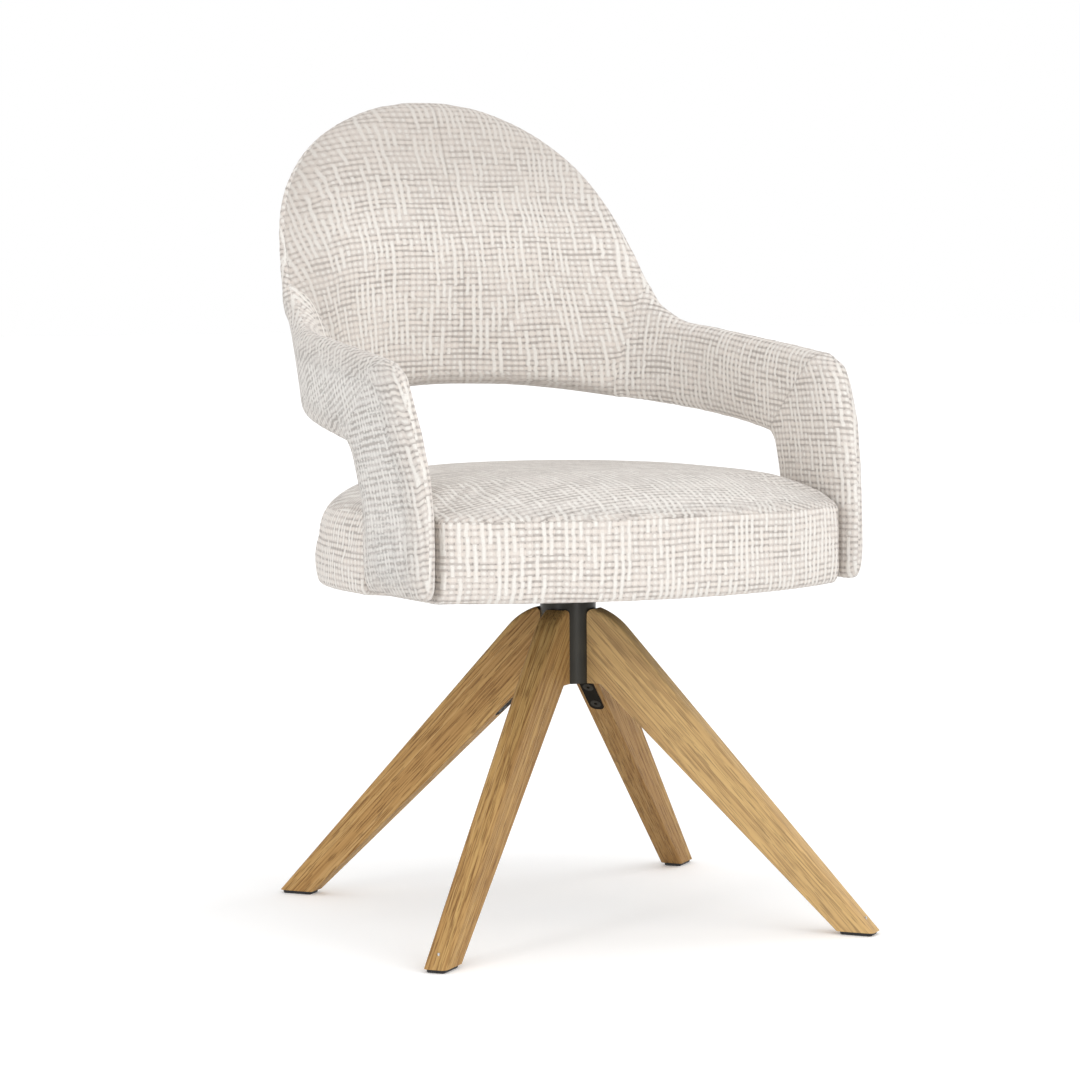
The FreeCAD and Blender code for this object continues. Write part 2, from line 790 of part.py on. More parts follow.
def pad_section(station, side):
    """Half of a round-ended band, with a pocket for the frame. side is -1 inside, +1 outside."""
    low, middle, high, out, inner, outer = station
    half = inner if side < 0 else outer
    across = section_axes(low, high, out)[1] * side
    low_up = (middle - low).normalize()
    high_up = (high - middle).normalize()
    bend = math.sqrt(0.5)
    low_flank = low + low_up * half + across * half
    low_bend = low + low_up * (half - half * bend) + across * (half * bend)
    high_flank = high - high_up * half + across * half
    high_bend = high - high_up * (half - half * bend) + across * (half * bend)
    flank = middle + across * (half + arm_fullness)
    wall = across * min(core_half_thickness + cloth_gap, min(inner, outer) / 2.0)
    inset = core_inset - cloth_gap
    low_pocket = low + low_up * inset
    high_pocket = high - high_up * inset
    return Part.Wire([
        arc(low, low_bend, low_flank), arc(low_flank, flank, high_flank), arc(high_flank, high_bend, high),
        segment(high, high_pocket), segment(high_pocket, high_pocket + wall),
        segment(high_pocket + wall, middle + wall), segment(middle + wall, low_pocket + wall),
        segment(low_pocket + wall, low_pocket), segment(low_pocket, low)])


def core_section(station):
    low, middle, high, out, _, _ = station
    wall = section_axes(low, high, out)[1] * core_half_thickness
    low_edge = low + (middle - low).normalize() * core_inset
    high_edge = high - (high - middle).normalize() * core_inset
    corners = [low_edge - wall, low_edge + wall, middle + wall,
               high_edge + wall, high_edge - wall, middle - wall]
    return Part.makePolygon(corners + [corners[0]])


def smooth_band(sections):
    return Part.makeLoft(sections, True, False)


def band(sections):
    return Part.makeLoft(sections, True, True)


# Back, in level sections from the bottom edge to the crown

def back_heights():
    lower = back_round_centre - back_bottom
    heights = [back_bottom + lower * step / back_low_steps for step in range(back_low_steps)]
    for step in range(back_round_steps + 1):
        angle = math.radians(back_round_last * step / back_round_steps)
        heights.append(back_round_centre + back_round_rise * math.sin(angle))
    return heights


def back_tip(height):
    """Half length of a level section, along the band's line, from the middle to the padded edge."""
    if height < back_round_centre:
        share = (back_round_centre - height) / (back_round_centre - back_bottom)
        return back_round_half + back_lower_flare * share * (2.0 - share)
    share = (height - back_round_centre) / back_round_rise
    return back_round_half * math.sqrt(1.0 - share ** back_round_power)


def edge_distance(along, height):
    """How far a place on the back lies inside its outline, about square to it."""
    if height <= back_round_centre:
        return back_tip(height) - along
    share = (height - back_round_centre) / back_round_rise
    inside = 1.0 - share ** back_round_power - (along / back_round_half) ** 2
    slope_along = 2.0 * along / back_round_half ** 2
    slope_up = back_round_power * share ** (back_round_power - 1.0) / back_round_rise
    return inside / max(math.hypot(slope_along, slope_up), smallest_slope)


def full_place(height):
    """Half length of the part of a level section that has its full thickness."""
    tip = back_tip(height)
    low, high = 0.0, tip
    while high - low > search_step:
        middle = (low + high) / 2.0
        if edge_distance(middle, height) > back_edge_radius:
            low = middle
        else:
            high = middle
    return max(low, tip * back_least_full)


def back_lean_at(along, height):
    """The middle surface leans back, more at its edges than at its centre."""
    centre = max(0.0, height - back_centre_lean_from) * back_centre_lean_slope
    share = min(1.0, along / back_tip(height)) ** 2
    return centre + (edge_lean(height) - centre) * share


def back_place(along, height, offset):
    """Point of a level section: along the band's line from the middle, and outward from it."""
    far = abs(along)
    middle, out = band_middle(far, height)
    place = middle + out * offset
    return point(math.copysign(place.x, along), place.y + back_lean_at(far, height), height)


def back_depth(along, height, pad):
    """Half thickness, fuller at the centre than near the edge, and rounded off at the edge."""
    inside = min(back_edge_radius, max(0.0, edge_distance(along, height)))
    rounded = math.sqrt(back_edge_radius ** 2 - (back_edge_radius - inside) ** 2) / back_edge_radius
    fullness = max(0.0, 1.0 - (along / back_round_half) ** 2) ** 2
    return (back_flank + (pad - back_flank) * fullness) * rounded


def back_half_section(height, side):
    """The front (side -1) or rear (side +1) half of a level section of the back."""
    pad = back_front_pad if side < 0 else back_rear_pad
    tip = back_tip(height)
    full = full_place(height)
    bend = full + (tip - full) * math.sqrt(0.5)
    knee = min(back_knee, full * back_knee_share)
    between = (knee + full) / 2.0
    reach = (tip + knee) / 2.0

    def skin(along):
        return back_place(along, height, side * back_depth(abs(along), height, pad))

    def middle(along):
        return back_place(along, height, side * cloth_gap / 2.0)

    return Part.Wire([
        arc(middle(-tip), skin(-bend), skin(-full)),
        arc(skin(-full), skin(-between), skin(-knee)),
        arc(skin(-knee), skin(0.0), skin(knee)),
        arc(skin(knee), skin(between), skin(full)),
        arc(skin(full), skin(bend), middle(tip)),
        arc(middle(tip), middle(reach), middle(knee)),
        arc(middle(knee), middle(0.0), middle(-knee)),
        arc(middle(-knee), middle(-reach), middle(-tip))])


def back_core_section(height, grow):
    width = full_place(height) - back_core_side + grow
    thick = core_half_thickness + grow
    knee = min(back_knee, width * back_knee_share)
    between = (width + knee) / 2.0

    def place(along, side):
        return back_place(along, height, side * thick)

    def half_line(side):
        turn = -side
        return [arc(place(side * width, side), place(side * between, side), place(side * knee, side)),
                arc(place(side * knee, side), place(0.0, side), place(turn * knee, side)),
                arc(place(turn * knee, side), place(turn * between, side), place(turn * width, side)),
                segment(place(turn * width, side), place(turn * width, turn))]

    return Part.Wire(half_line(-1) + half_line(1))


def back_core(grow):
    heights = [height for height in back_heights() if height < back_core_top + back_edge_radius]
    body = smooth_band([back_core_section(height, grow) for height in heights])
    low = point(-back_round_half, 0, back_core_bottom - grow)
    high = point(back_round_half, back_middle * 2.0, back_core_top + grow)
    return body.common(block(low, high))


def arch_cutter():
    """Everything below the back's arched bottom edge."""
    side_x = arm_station(0.0)[0].x
    side_z = arm_low(arm_seam_low)
    low_left = point(-side_x, 0, side_z)
    low_right = point(side_x, 0, side_z)
    far = back_round_half * 2.0
    under = back_bottom - back_edge_radius
    crown = point(0, 0, arm_low_centre)
    fall = 2.0 * (arm_low_centre - side_z) / side_x * (far - side_x)
    outline = Part.Wire([
        arc(low_left, crown, low_right), segment(low_right, point(far, 0, side_z - fall)),
        segment(point(far, 0, side_z - fall), point(far, 0, under - fall)),
        segment(point(far, 0, under - fall), point(-far, 0, under - fall)),
        segment(point(-far, 0, under - fall), point(-far, 0, side_z - fall)),
        segment(point(-far, 0, side_z - fall), low_left)])
    return Part.Face(outline).extrude(FreeCAD.Vector(0, back_middle * 2.0, 0))


def dowels(gap):
    """Two on each side, across the butt joint between the back's shell and the arm frame."""
    low, middle, high, out, _, _ = arm_station(0.0)
    up, across = section_axes(low, high, out)
    ahead = point(across.y, -across.x, 0)
    lower = low + (middle - low).normalize() * dowel_place
    upper = high - (high - middle).normalize() * dowel_place
    found = []
    for place in (lower, upper):
        start = place - ahead * (dowel_length / 2.0)
        found.append(Part.makeCylinder(dowel_radius + gap, dowel_length, start, ahead))
    return found + [mirrored(d) for d in found]


# Brackets between the arm frames and the seat board

bracket_face = post_middle - core_half_thickness      # inner face of the arm frame beside the seat
bracket_low = board_bottom


def bracket_blank(gap):
    """Steel angle: one leg up the arm frame's inner face, the other under the board."""
    near = bracket_middle - bracket_width / 2.0 - gap
    far = bracket_middle + bracket_width / 2.0 + gap
    upright = block(point(bracket_face - bracket_thickness - gap, near, bracket_low - gap),
                    point(bracket_face, far, bracket_low + bracket_height + gap))
    foot = block(point(bracket_face - bracket_foot - gap, near, bracket_low - gap),
                 point(bracket_face, far, bracket_low + bracket_thickness + gap))
    return upright.fuse(foot).removeSplitter()


def bracket_screws_data():
    """Head, direction and length of each screw of the right-hand bracket."""
    outward = point(1, 0, 0)
    for side in (-1, 1):
        y = bracket_middle + side * bracket_screw_spacing / 2.0
        foot_x = bracket_face - bracket_foot_screw_inset - bracket_screw_spacing / 2.0
        yield point(foot_x, y, bracket_low), axis_up, bracket_screw_length
        wall = point(bracket_face - bracket_thickness, y, bracket_low + bracket_side_rise)
        yield wall, outward, bracket_side_screw_length


def bracket_screw_holes():
    return [screw_hole(head, way, length, bracket_screw_radius, bracket_screw_head)
            for head, way, length in bracket_screws_data()]


def bracket():
    body = bracket_blank(0.0)
    for hole in bracket_screw_holes():
        body = body.cut(hole)
    return body


def bracket_foot_tools():
    """What the board loses to the brackets: the rebates and the screws' holes."""
    tools = [bracket_blank(cloth_gap)] + bracket_screw_holes()
    return tools + [mirrored(t) for t in tools]


def bracket_screws():
    found = [screw(head, way, length, bracket_screw_radius, bracket_screw_head)
             for head, way, length in bracket_screws_data()]
    return found + [mirrored(s) for s in found]


def build():
    os.makedirs("parts", exist_ok=True)

    # Standing pieces
    leg_shape, strap_shape, glide_shape = leg(), strap(), glide()
    strap_screws, nails = [], []
    for name, angle in leg_names.items():
        save("leg_" + name, turned(leg_shape, angle + base_turn))
        save("leg_strap_" + name, turned(strap_shape, angle + base_turn))
        save("foot_glide_" + name, turned(glide_shape, angle + base_turn))
        for head in strap_screw_heads():
            one = screw(head, slope_in, strap_screw_length, strap_screw_radius, strap_screw_head)
            strap_screws.append(turned(one, angle + base_turn))
        for x in glide_nail_places():
            nails.append(turned(nail(x), angle + base_turn))
    save("leg_screws", group(strap_screws))
    save("glide_nails", group(nails))
    save("hub_tube", hub_tube())
    save("hub_top_plate", hub_top_plate())
    save("hub_lower_plate", hub_lower_plate())
    save("hub_upper_bush", upper_bush())
    save("hub_lower_bush", lower_bush())
    save("hub_end_cap", end_cap())
    save("thrust_washer", thrust_washer())

    # Swivel and seat
    save("swivel_spindle", spindle())
    save("spindle_clip", retaining_clip())
    save("swivel_collar", collar())
    save("mounting_plate", mounting_plate())
    save("mounting_bolts", group([plate_bolt(x, y) for x, y in bolt_places()]))
    save("tee_nuts", group([tee_nut(x, y) for x, y in bolt_places()]))
    save("seat_board", seat_board())
    save("dust_cover", dust_cover())
    save("seat_cushion", seat_cushion())

    # Back
    heights = back_heights()
    front_half = smooth_band([back_half_section(height, -1) for height in heights])
    rear_half = smooth_band([back_half_section(height, 1) for height in heights])
    arch = arch_cutter()
    shell = back_core(0.0)
    pocket = back_core(cloth_gap)
    pegs = dowels(0.0)
    peg_space = dowels(cloth_gap)
    seam = seam_cutter()
    for tool in [arch, seam, mirrored(seam)] + peg_space:
        front_half = front_half.cut(tool)
        rear_half = rear_half.cut(tool)
    shell = shell.cut(seam).cut(mirrored(seam))

    # Arms: everything on the right side, then mirrored
    found = stations()
    arm_core = band([core_section(s) for s in found["arm"]])
    post_core = band([core_section(s) for s in found["post"][:-len(post_hem)]])
    frame = arm_core.fuse(post_core).removeSplitter()
    for tool in pegs[:2] + bracket_screw_holes():
        frame = frame.cut(tool)
    blank = bracket_blank(cloth_gap)
    arm_pads = {}
    for label, side in (("inner", -1), ("outer", 1)):
        arm = band([pad_section(s, side) for s in found["arm"]])
        for tool in peg_space[:2]:
            arm = arm.cut(tool)
        post = band([pad_section(s, side) for s in found["post"]]).cut(blank)
        arm_pads["arm_%s_pad" % label] = arm
        arm_pads["post_%s_pad" % label] = post

    frame_left = mirrored(frame)
    for tool in pegs:
        shell = shell.cut(tool)
    front_half = front_half.cut(pocket)
    rear_half = rear_half.cut(pocket)
    far = back_middle * 4.0
    right_half = block(point(0, -far, 0), point(far, far, far))
    save("back_front_right", front_half.common(right_half))
    save("back_front_left", front_half.common(mirrored(right_half)))
    save("back_rear_cover", rear_half)
    save("back_shell", shell)
    save("frame_dowels", group(pegs))
    for name, shape in arm_pads.items():
        save(name + "_right", shape)
        save(name + "_left", mirrored(shape))
    save("arm_frame_right", frame)
    save("arm_frame_left", frame_left)
    angle = bracket()
    save("seat_bracket_right", angle)
    save("seat_bracket_left", mirrored(angle))
    save("bracket_screws", group(bracket_screws()))


build()
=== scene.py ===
import json
import math

import bmesh
import bpy
import numpy as np
from mathutils import Matrix, Vector
from mathutils.bvhtree import BVHTree

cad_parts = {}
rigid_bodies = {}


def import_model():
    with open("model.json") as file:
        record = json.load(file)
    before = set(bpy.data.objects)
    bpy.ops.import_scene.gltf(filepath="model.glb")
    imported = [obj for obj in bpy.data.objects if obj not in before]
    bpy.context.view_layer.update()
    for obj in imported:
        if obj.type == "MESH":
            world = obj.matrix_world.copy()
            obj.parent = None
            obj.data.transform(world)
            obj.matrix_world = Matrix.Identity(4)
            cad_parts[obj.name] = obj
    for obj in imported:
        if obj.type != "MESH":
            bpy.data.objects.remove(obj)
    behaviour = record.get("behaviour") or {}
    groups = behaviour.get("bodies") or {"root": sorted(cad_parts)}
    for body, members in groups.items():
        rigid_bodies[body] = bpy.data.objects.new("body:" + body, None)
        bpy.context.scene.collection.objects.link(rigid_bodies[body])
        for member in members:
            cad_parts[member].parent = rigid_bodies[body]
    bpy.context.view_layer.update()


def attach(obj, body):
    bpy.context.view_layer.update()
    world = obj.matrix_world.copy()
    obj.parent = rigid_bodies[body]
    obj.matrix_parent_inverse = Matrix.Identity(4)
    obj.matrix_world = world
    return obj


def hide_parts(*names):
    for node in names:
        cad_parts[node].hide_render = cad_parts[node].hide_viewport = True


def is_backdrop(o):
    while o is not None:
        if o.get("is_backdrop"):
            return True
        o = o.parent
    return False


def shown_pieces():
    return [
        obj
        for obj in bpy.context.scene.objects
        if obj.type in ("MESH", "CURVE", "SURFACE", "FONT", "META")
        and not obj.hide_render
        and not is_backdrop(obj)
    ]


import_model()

scene = bpy.context.scene

# Sizes of the upholstery in metres, in the seat's own place
BACK_CENTRE_Y = -0.232
BACK_PLAN_RADIUS = 0.5
CORNER_PLAN_RADIUS = 0.172
TURN_BACK = math.radians(13.65)
TURN_ARM = math.radians(87.0)
CORNER_CENTRE = np.array((math.sin(TURN_BACK), math.cos(TURN_BACK))) * (BACK_PLAN_RADIUS - CORNER_PLAN_RADIUS)
CORNER_CENTRE[1] += BACK_CENTRE_Y
CORNER_FROM = BACK_PLAN_RADIUS * TURN_BACK
SEAT_SEAM = 0.4425
BACK_HEM = 0.566

# Turn of each leg about the chair's middle in degrees, and their slope from level
LEG_ANGLES = {"rear_right": 39.0, "rear_left": 129.0, "front_left": 219.0, "front_right": 309.0}
LEG_SLOPE = math.radians(46.0)
# How much painted shade (towards dark brown) and painted light (towards pale oak) each leg gets, for how light falls
# on it
LEG_PAINTED_SHADE_AND_LIGHT = {"rear_right": (0.3, 0.0), "rear_left": (0.0, 0.0), "front_left": (0.12, 0.0), "front_right": (0.0, 0.22)}

# The plane in which the right arm is sewn to the back
ARM_SEAM_PLACE = np.array((0.22206, 0.21899, 0.66752))
ARM_SEAM_AHEAD = np.array((0.6552, -0.7299, -0.1947))
# Both such seams lie further than this from the chair's middle plane
SEAM_REACH_X = 0.12

# The corner between the back's edge and the arm's top, which the cover bridges by a small rise
BRIDGE_PLACE = np.array((0.2225, 0.2185, 0.668))
BRIDGE_WAY = np.array((0.54, -0.53, 0.65))
BRIDGE_RISE = 0.0075
BRIDGE_REACH = 0.018

# Cells of the weave in metres: one upright yarn and one level yarn each
COLUMN = 0.0077
ROW = 0.0067

# How the threads of the outer panels are turned against those of the inner ones
OUTER_ARM_TURN = math.radians(29.0)
OUTER_POST_TURN = math.radians(-7.0)

# Radii at which the cloth rolls over the edges and round the rear of the seat
BACK_EDGE_RADIUS = 0.021
ARM_EDGE_RADIUS = 0.0175
POST_EDGE_RADIUS = 0.0145
SEAT_PLAN_RADIUS = 0.26
SEAT_CENTRE_Y = 0.022

# Covers: cells of the even faces, and rounds of easing the flat cloth
SHELL_CELL = 0.0043
SEAT_CELL = 0.005
EASING_ROUNDS = 160


def srgb(red, green, blue):
    """The scene's colour for one read from a picture, from 0 to 255."""
    found = []
    for part in (red, green, blue):
        share = part / 255.0
        found.append(share / 12.92 if share <= 0.04045 else ((share + 0.055) / 1.055) ** 2.4)
    return (*found, 1.0)


class Amount:
    """A value at each place of a surface, which reckons like a number by adding Math nodes."""

    def __init__(self, finish, socket):
        self.finish = finish
        self.socket = socket

    def with_(self, operation, *others):
        values = dict(enumerate((self, *others)))
        return self.finish.add("ShaderNodeMath", {"operation": operation}, values)

    def __add__(self, other):
        return self.with_("ADD", other)

    def __sub__(self, other):
        return self.with_("SUBTRACT", other)

    def __rsub__(self, other):
        return (self * -1.0).with_("ADD", other)

    def __mul__(self, other):
        return self.with_("MULTIPLY", other)

    def __truediv__(self, other):
        return self.with_("DIVIDE", other)

    def __pow__(self, other):
        return self.with_("POWER", other)

    __radd__ = __add__
    __rmul__ = __mul__

    def size(self):
        return self.with_("ABSOLUTE")

    def whole(self):
        return self.with_("FLOOR")

    def above(self, level):
        return self.with_("GREATER_THAN", level)

    def most(self, other):
        return self.with_("MAXIMUM", other)

    def least(self, other):
        return self.with_("MINIMUM", other)

    def wave(self):
        return self.with_("SINE")

    def rise(self, low, high):
        """0 up to low, 1 from high, smooth between them."""
        settings = {"interpolation_type": "SMOOTHSTEP"}
        return self.finish.add("ShaderNodeMapRange", settings, {0: self, 1: low, 2: high, 3: 0.0, 4: 1.0})

    def fall(self, low, high):
        """1 up to low, 0 from high, smooth between them."""
        settings = {"interpolation_type": "SMOOTHSTEP"}
        return self.finish.add("ShaderNodeMapRange", settings, {0: self, 1: low, 2: high, 3: 1.0, 4: 0.0})


class Finish:
    """A material made of nodes."""

    def __init__(self, name):
        self.material = bpy.data.materials.new(name)
        self.material.use_nodes = True
        self.tree = self.material.node_tree
        self.surface = self.tree.nodes["Principled BSDF"]

    def add(self, kind, settings, inputs, output=0):
        """One node: its kind, its settings first, then what its sockets hold."""
        node = self.tree.nodes.new(kind)
        for name, value in settings.items():
            setattr(node, name, value)
        for name, value in inputs.items():
            self.feed(node.inputs[name], value)
        return Amount(self, node.outputs[output])

    def feed(self, socket, value):
        if isinstance(value, Amount):
            self.tree.links.new(value.socket, socket)
        else:
            socket.default_value = value

    def mixed(self, share, first, second):
        """A colour between two."""
        return self.add("ShaderNodeMix", {"data_type": "RGBA"}, {0: share, 6: first, 7: second}, 2)

    def parts(self, vector):
        node = self.add("ShaderNodeSeparateXYZ", {}, {0: vector}).socket.node
        return [Amount(self, socket) for socket in node.outputs]

    def vector(self, x, y, z=0.0):
        return self.add("ShaderNodeCombineXYZ", {}, {0: x, 1: y, 2: z})

    def noise(self, place, scale, detail=2.0, output=0):
        return self.add("ShaderNodeTexNoise", {}, {"Vector": place, "Scale": scale, "Detail": detail}, output)

    def dice(self, x, y, seed=0.0):
        """A value from 0 to 1 that stays the same within one cell."""
        settings = {"noise_dimensions": "3D"}
        return self.add("ShaderNodeTexWhiteNoise", settings, {"Vector": self.vector(x, y, seed)}, "Value")

    def own_place(self):
        return self.add("ShaderNodeTexCoord", {}, {}, "Object")

    def show(self, colour, roughness, height=None, depth=0.0, **constants):
        self.feed(self.surface.inputs["Base Color"], colour)
        self.feed(self.surface.inputs["Roughness"], roughness)
        for name, value in constants.items():
            self.surface.inputs[name.replace("_", " ")].default_value = value
        if height is not None:
            bump = self.add("ShaderNodeBump", {}, {"Strength": 1.0, "Distance": depth, "Height": height})
            self.feed(self.surface.inputs["Normal"], bump)
        return self.material


def woven_cloth(name):
    """Ivory beads and floats on a beige ground, tied down by rows of grey weft."""
    cloth = Finish(name)
    place = cloth.add("ShaderNodeAttribute", {"attribute_name": "cloth_place"}, {}, "Vector")
    seam = cloth.add("ShaderNodeAttribute", {"attribute_name": "seam_distance"}, {}, "Fac")
    along, height, kind = cloth.parts(place)
    # The third part of cloth_place: above 0 a paler cloth, below 0 painted shade
    pale = kind.most(0.0)
    painted_shade = (kind * -1.0).most(0.0)
    slow = cloth.parts(cloth.noise(place, 8.0, 1.0, "Color"))
    quick = cloth.parts(cloth.noise(place, 90.0, 1.0, "Color"))
    columns = along / COLUMN + (slow[0] - 0.5) * 1.1 + (quick[0] - 0.5) * 0.2
    rows = height / ROW + (slow[1] - 0.5) * 1.2 + (quick[1] - 0.5) * 0.14
    column = columns.whole()
    row = rows.whole()
    across = columns - column
    up = rows - row
    luck = cloth.dice(column, row, 1.0)
    off_yarn = (across - 0.42 - cloth.dice(column, row, 9.0) * 0.16).size()
    row_edge = up.least(1.0 - up)

    run = (rows / 2.9 + cloth.dice(column, 3.0) * 9.0).whole()
    clusters = cloth.noise(cloth.vector(column * 0.23, row * 0.12, 4.0), 1.0, 1.0)
    short = (clusters.rise(0.3, 0.62) * 0.52 + 0.08 - cloth.dice(column, run, 7.0)).above(0.0)
    stretch = (rows / 7.0 + cloth.dice(column, 8.0) * 7.0).whole()
    floats = short.most((0.07 - cloth.dice(column, stretch, 2.0)).above(0.0))
    bar = off_yarn.fall(0.16, 0.34) * floats * (luck * 0.25 + 0.75)
    bead_reach = (off_yarn / 0.33) ** 2.0 + ((up - 0.5) / 0.36) ** 2.0
    bead = bead_reach.fall(0.2, 1.3) * (luck * 0.55 + 0.45)
    line_run = (column / 6.0 + cloth.dice(row, 5.0) * 6.0).whole()
    line = (cloth.dice(row, line_run, 2.0)).rise(0.35, 0.95)
    weft = row_edge.fall(0.08, 0.38)
    ivory = bar.most(bead * (1.0 - weft * line * 0.5))
    gap = (off_yarn * -1.0 + 0.5).most(0.0)
    hole = (gap / 0.22) ** 2.0 + (row_edge / 0.26) ** 2.0
    hole = hole.fall(0.1, 1.1) * (cloth.dice(column + 31.0, row, 6.0).rise(0.1, 0.9))
    fuzz = cloth.noise(place, 750.0, 2.0) - 0.5
    strand = (columns * 18.85).wave() * 0.5 + 0.5

    ground = cloth.mixed(luck, srgb(228, 218, 209), srgb(217, 209, 202))
    ground = cloth.mixed(strand * 0.3, ground, srgb(210, 201, 194))
    ground = cloth.mixed(pale, ground, srgb(218, 216, 213))
    weft_share = weft * (line * 0.35 + 0.5) * (1.0 - ivory * 0.85)
    colour = cloth.mixed(weft_share, ground, cloth.mixed(line, srgb(200, 193, 188), srgb(170, 163, 158)))
    colour = cloth.mixed(hole * 0.85, colour, srgb(150, 143, 137))
    colour = cloth.mixed(ivory * (0.86 - pale * 0.3), colour, srgb(243, 240, 234))

    half_row = (rows * 2.0).whole()
    dash_place = columns * 0.8 + cloth.dice(half_row, 12.0) * 5.0
    dash_edge = (rows * 2.0 - half_row - 0.5).size()
    dash_end = (dash_place - dash_place.whole() - 0.5).size()
    dash_luck = cloth.dice(dash_place.whole(), half_row, 13.0)
    dash = dash_edge.fall(0.12, 0.42) * dash_end.fall(0.25, 0.5) * dash_luck.rise(0.5, 0.85)
    colour = cloth.mixed(dash * pale * 0.7, colour, srgb(158, 155, 151))
    colour = cloth.mixed((fuzz * 1.9).size(), colour, srgb(188, 182, 176))
    # Painted shade: the cloth is darkened where the surface gets less light
    colour = cloth.mixed(painted_shade, colour, srgb(176, 167, 159))
    # Painted shade in the seams: the cloth is darkened along each seam's crease, which the relief below also sinks
    crease = seam.size().fall(0.0, 0.0014)
    colour = cloth.mixed(crease * 0.22, colour, srgb(140, 130, 122))

    round_bar = (1.0 - (off_yarn / 0.36) ** 2.0).most(0.0)
    relief = ivory * round_bar * 0.8 + weft * 0.2 + strand * 0.1 - hole * 0.3 - dash * pale * 0.4
    relief = relief + fuzz * 0.4 - crease * 0.5
    return cloth.show(colour, 0.92, relief, 0.0008, Sheen_Weight=0.12, Sheen_Roughness=0.5, Specular_IOR_Level=0.15)


def oak(name, angle, seed, dark, pale):
    """Oak with its grain along one leg: fine dark pores, broad lighter and darker bands, and over the whole leg the
    painted shade (dark) and painted light (pale) that fall on that leg.
    """
    wood = Finish(name)
    place = wood.own_place()
    turn = wood.add("ShaderNodeVectorRotate", {"rotation_type": "Z_AXIS"}, {"Vector": place, "Angle": -angle})
    lie = wood.add("ShaderNodeVectorRotate", {"rotation_type": "Y_AXIS"}, {"Vector": turn, "Angle": -LEG_SLOPE})
    along, aside, deep = wood.parts(lie)
    waver = wood.noise(wood.vector(along * 3.0 + seed, aside * 9.0, deep * 9.0), 1.0, 1.0) - 0.5
    aside = aside + waver * 0.006
    board = wood.vector(along * 1.1 + seed, aside * 40.0, deep * 40.0)
    broad = wood.noise(board, 1.0, 3.0)
    fine = wood.noise(wood.vector(along * 8.0 + seed, aside * 560.0, deep * 560.0), 1.0, 3.0)
    pores = wood.noise(wood.vector(along * 32.0 + seed, aside * 860.0, deep * 860.0), 1.0, 1.0)
    rings = ((aside * 620.0 + deep * 260.0 + broad * 9.0).wave()) * 0.5 + 0.5
    streaks = wood.noise(wood.vector(along * 2.6 + seed, aside * 250.0, deep * 250.0), 1.0, 2.0)
    colour = wood.mixed(broad.rise(0.3, 0.7), srgb(183, 142, 86), srgb(206, 169, 108))
    colour = wood.mixed(rings * 0.28, colour, srgb(170, 129, 77))
    colour = wood.mixed(streaks.rise(0.5, 0.64) * 0.34, colour, srgb(152, 111, 62))
    colour = wood.mixed(streaks.fall(0.34, 0.46) * 0.3, colour, srgb(214, 180, 126))
    colour = wood.mixed(fine.rise(0.5, 0.6) * 0.62, colour, srgb(142, 102, 56))
    dark_pores = pores.rise(0.56, 0.64)
    colour = wood.mixed(dark_pores * 0.6, colour, srgb(104, 70, 34))
    # Painted shade and painted light: the whole leg is darkened where it lies in shade and lightened where light
    # falls on it
    colour = wood.mixed(dark, colour, srgb(106, 74, 34))
    colour = wood.mixed(pale, colour, srgb(232, 204, 156))
    roughness = 0.5 + fine * 0.16
    relief = 1.0 - dark_pores * 0.7 - fine * 0.4
    return wood.show(colour, roughness, relief, 0.00025, Specular_IOR_Level=0.25)


def painted_steel(name, colour, light, rough, shine):
    """Satin powder coat: a fine even grain with a few lighter specks where it is worn."""
    paint = Finish(name)
    place = paint.own_place()
    grain = paint.noise(place, 1400.0, 2.0)
    cloud = paint.noise(place, 22.0, 2.0)
    shade = paint.mixed(cloud.rise(0.3, 0.75) * 0.6, colour, light)
    shade = paint.mixed(grain.rise(0.68, 0.8) * 0.35, shade, light)
    return paint.show(shade, cloud * 0.12 + rough, grain, 0.00008, Specular_IOR_Level=shine)


def plain_metal(name, colour, dark):
    """Zinc plated steel, with fine turned marks and dull patches."""
    metal = Finish(name)
    place = metal.own_place()
    x, y, z = metal.parts(place)
    marks = metal.noise(metal.vector(x * 60.0, y * 60.0, z * 1500.0), 1.0, 2.0)
    cloud = metal.noise(place, 90.0, 3.0)
    shade = metal.mixed(cloud.rise(0.35, 0.7) * 0.5, colour, dark)
    return metal.show(shade, 0.3 + marks * 0.2, marks, 0.00004, Metallic=1.0)


def moulded_plastic(name, colour, light):
    """Black plastic with a fine moulded grain, scuffed paler."""
    plastic = Finish(name)
    place = plastic.own_place()
    grain = plastic.noise(place, 1100.0, 3.0)
    scuff = plastic.noise(place, 130.0, 4.0)
    shade = plastic.mixed(scuff.rise(0.55, 0.8) * 0.5, colour, light)
    return plastic.show(shade, 0.5 + scuff * 0.15, grain, 0.00012)


def plywood(name):
    """Beech plywood: plain flecked face, thin glued layers on the edges."""
    board = Finish(name)
    place = board.own_place()
    x, y, z = board.parts(place)
    layer = ((z * 4488.0).wave() * 0.5 + 0.5).rise(0.75, 0.95)
    grain = board.noise(board.vector(x * 240.0, y * 8.0, z * 240.0), 1.0, 3.0)
    fleck = board.noise(board.vector(x * 900.0, y * 120.0, z * 900.0), 1.0, 1.0).rise(0.62, 0.7)
    colour = board.mixed(grain.rise(0.3, 0.7), srgb(216, 187, 146), srgb(196, 162, 118))
    colour = board.mixed(fleck * 0.4, colour, srgb(158, 118, 78))
    colour = board.mixed(layer * 0.35, colour, srgb(140, 103, 68))
    return board.show(colour, 0.6 + grain * 0.1, grain, 0.0001)


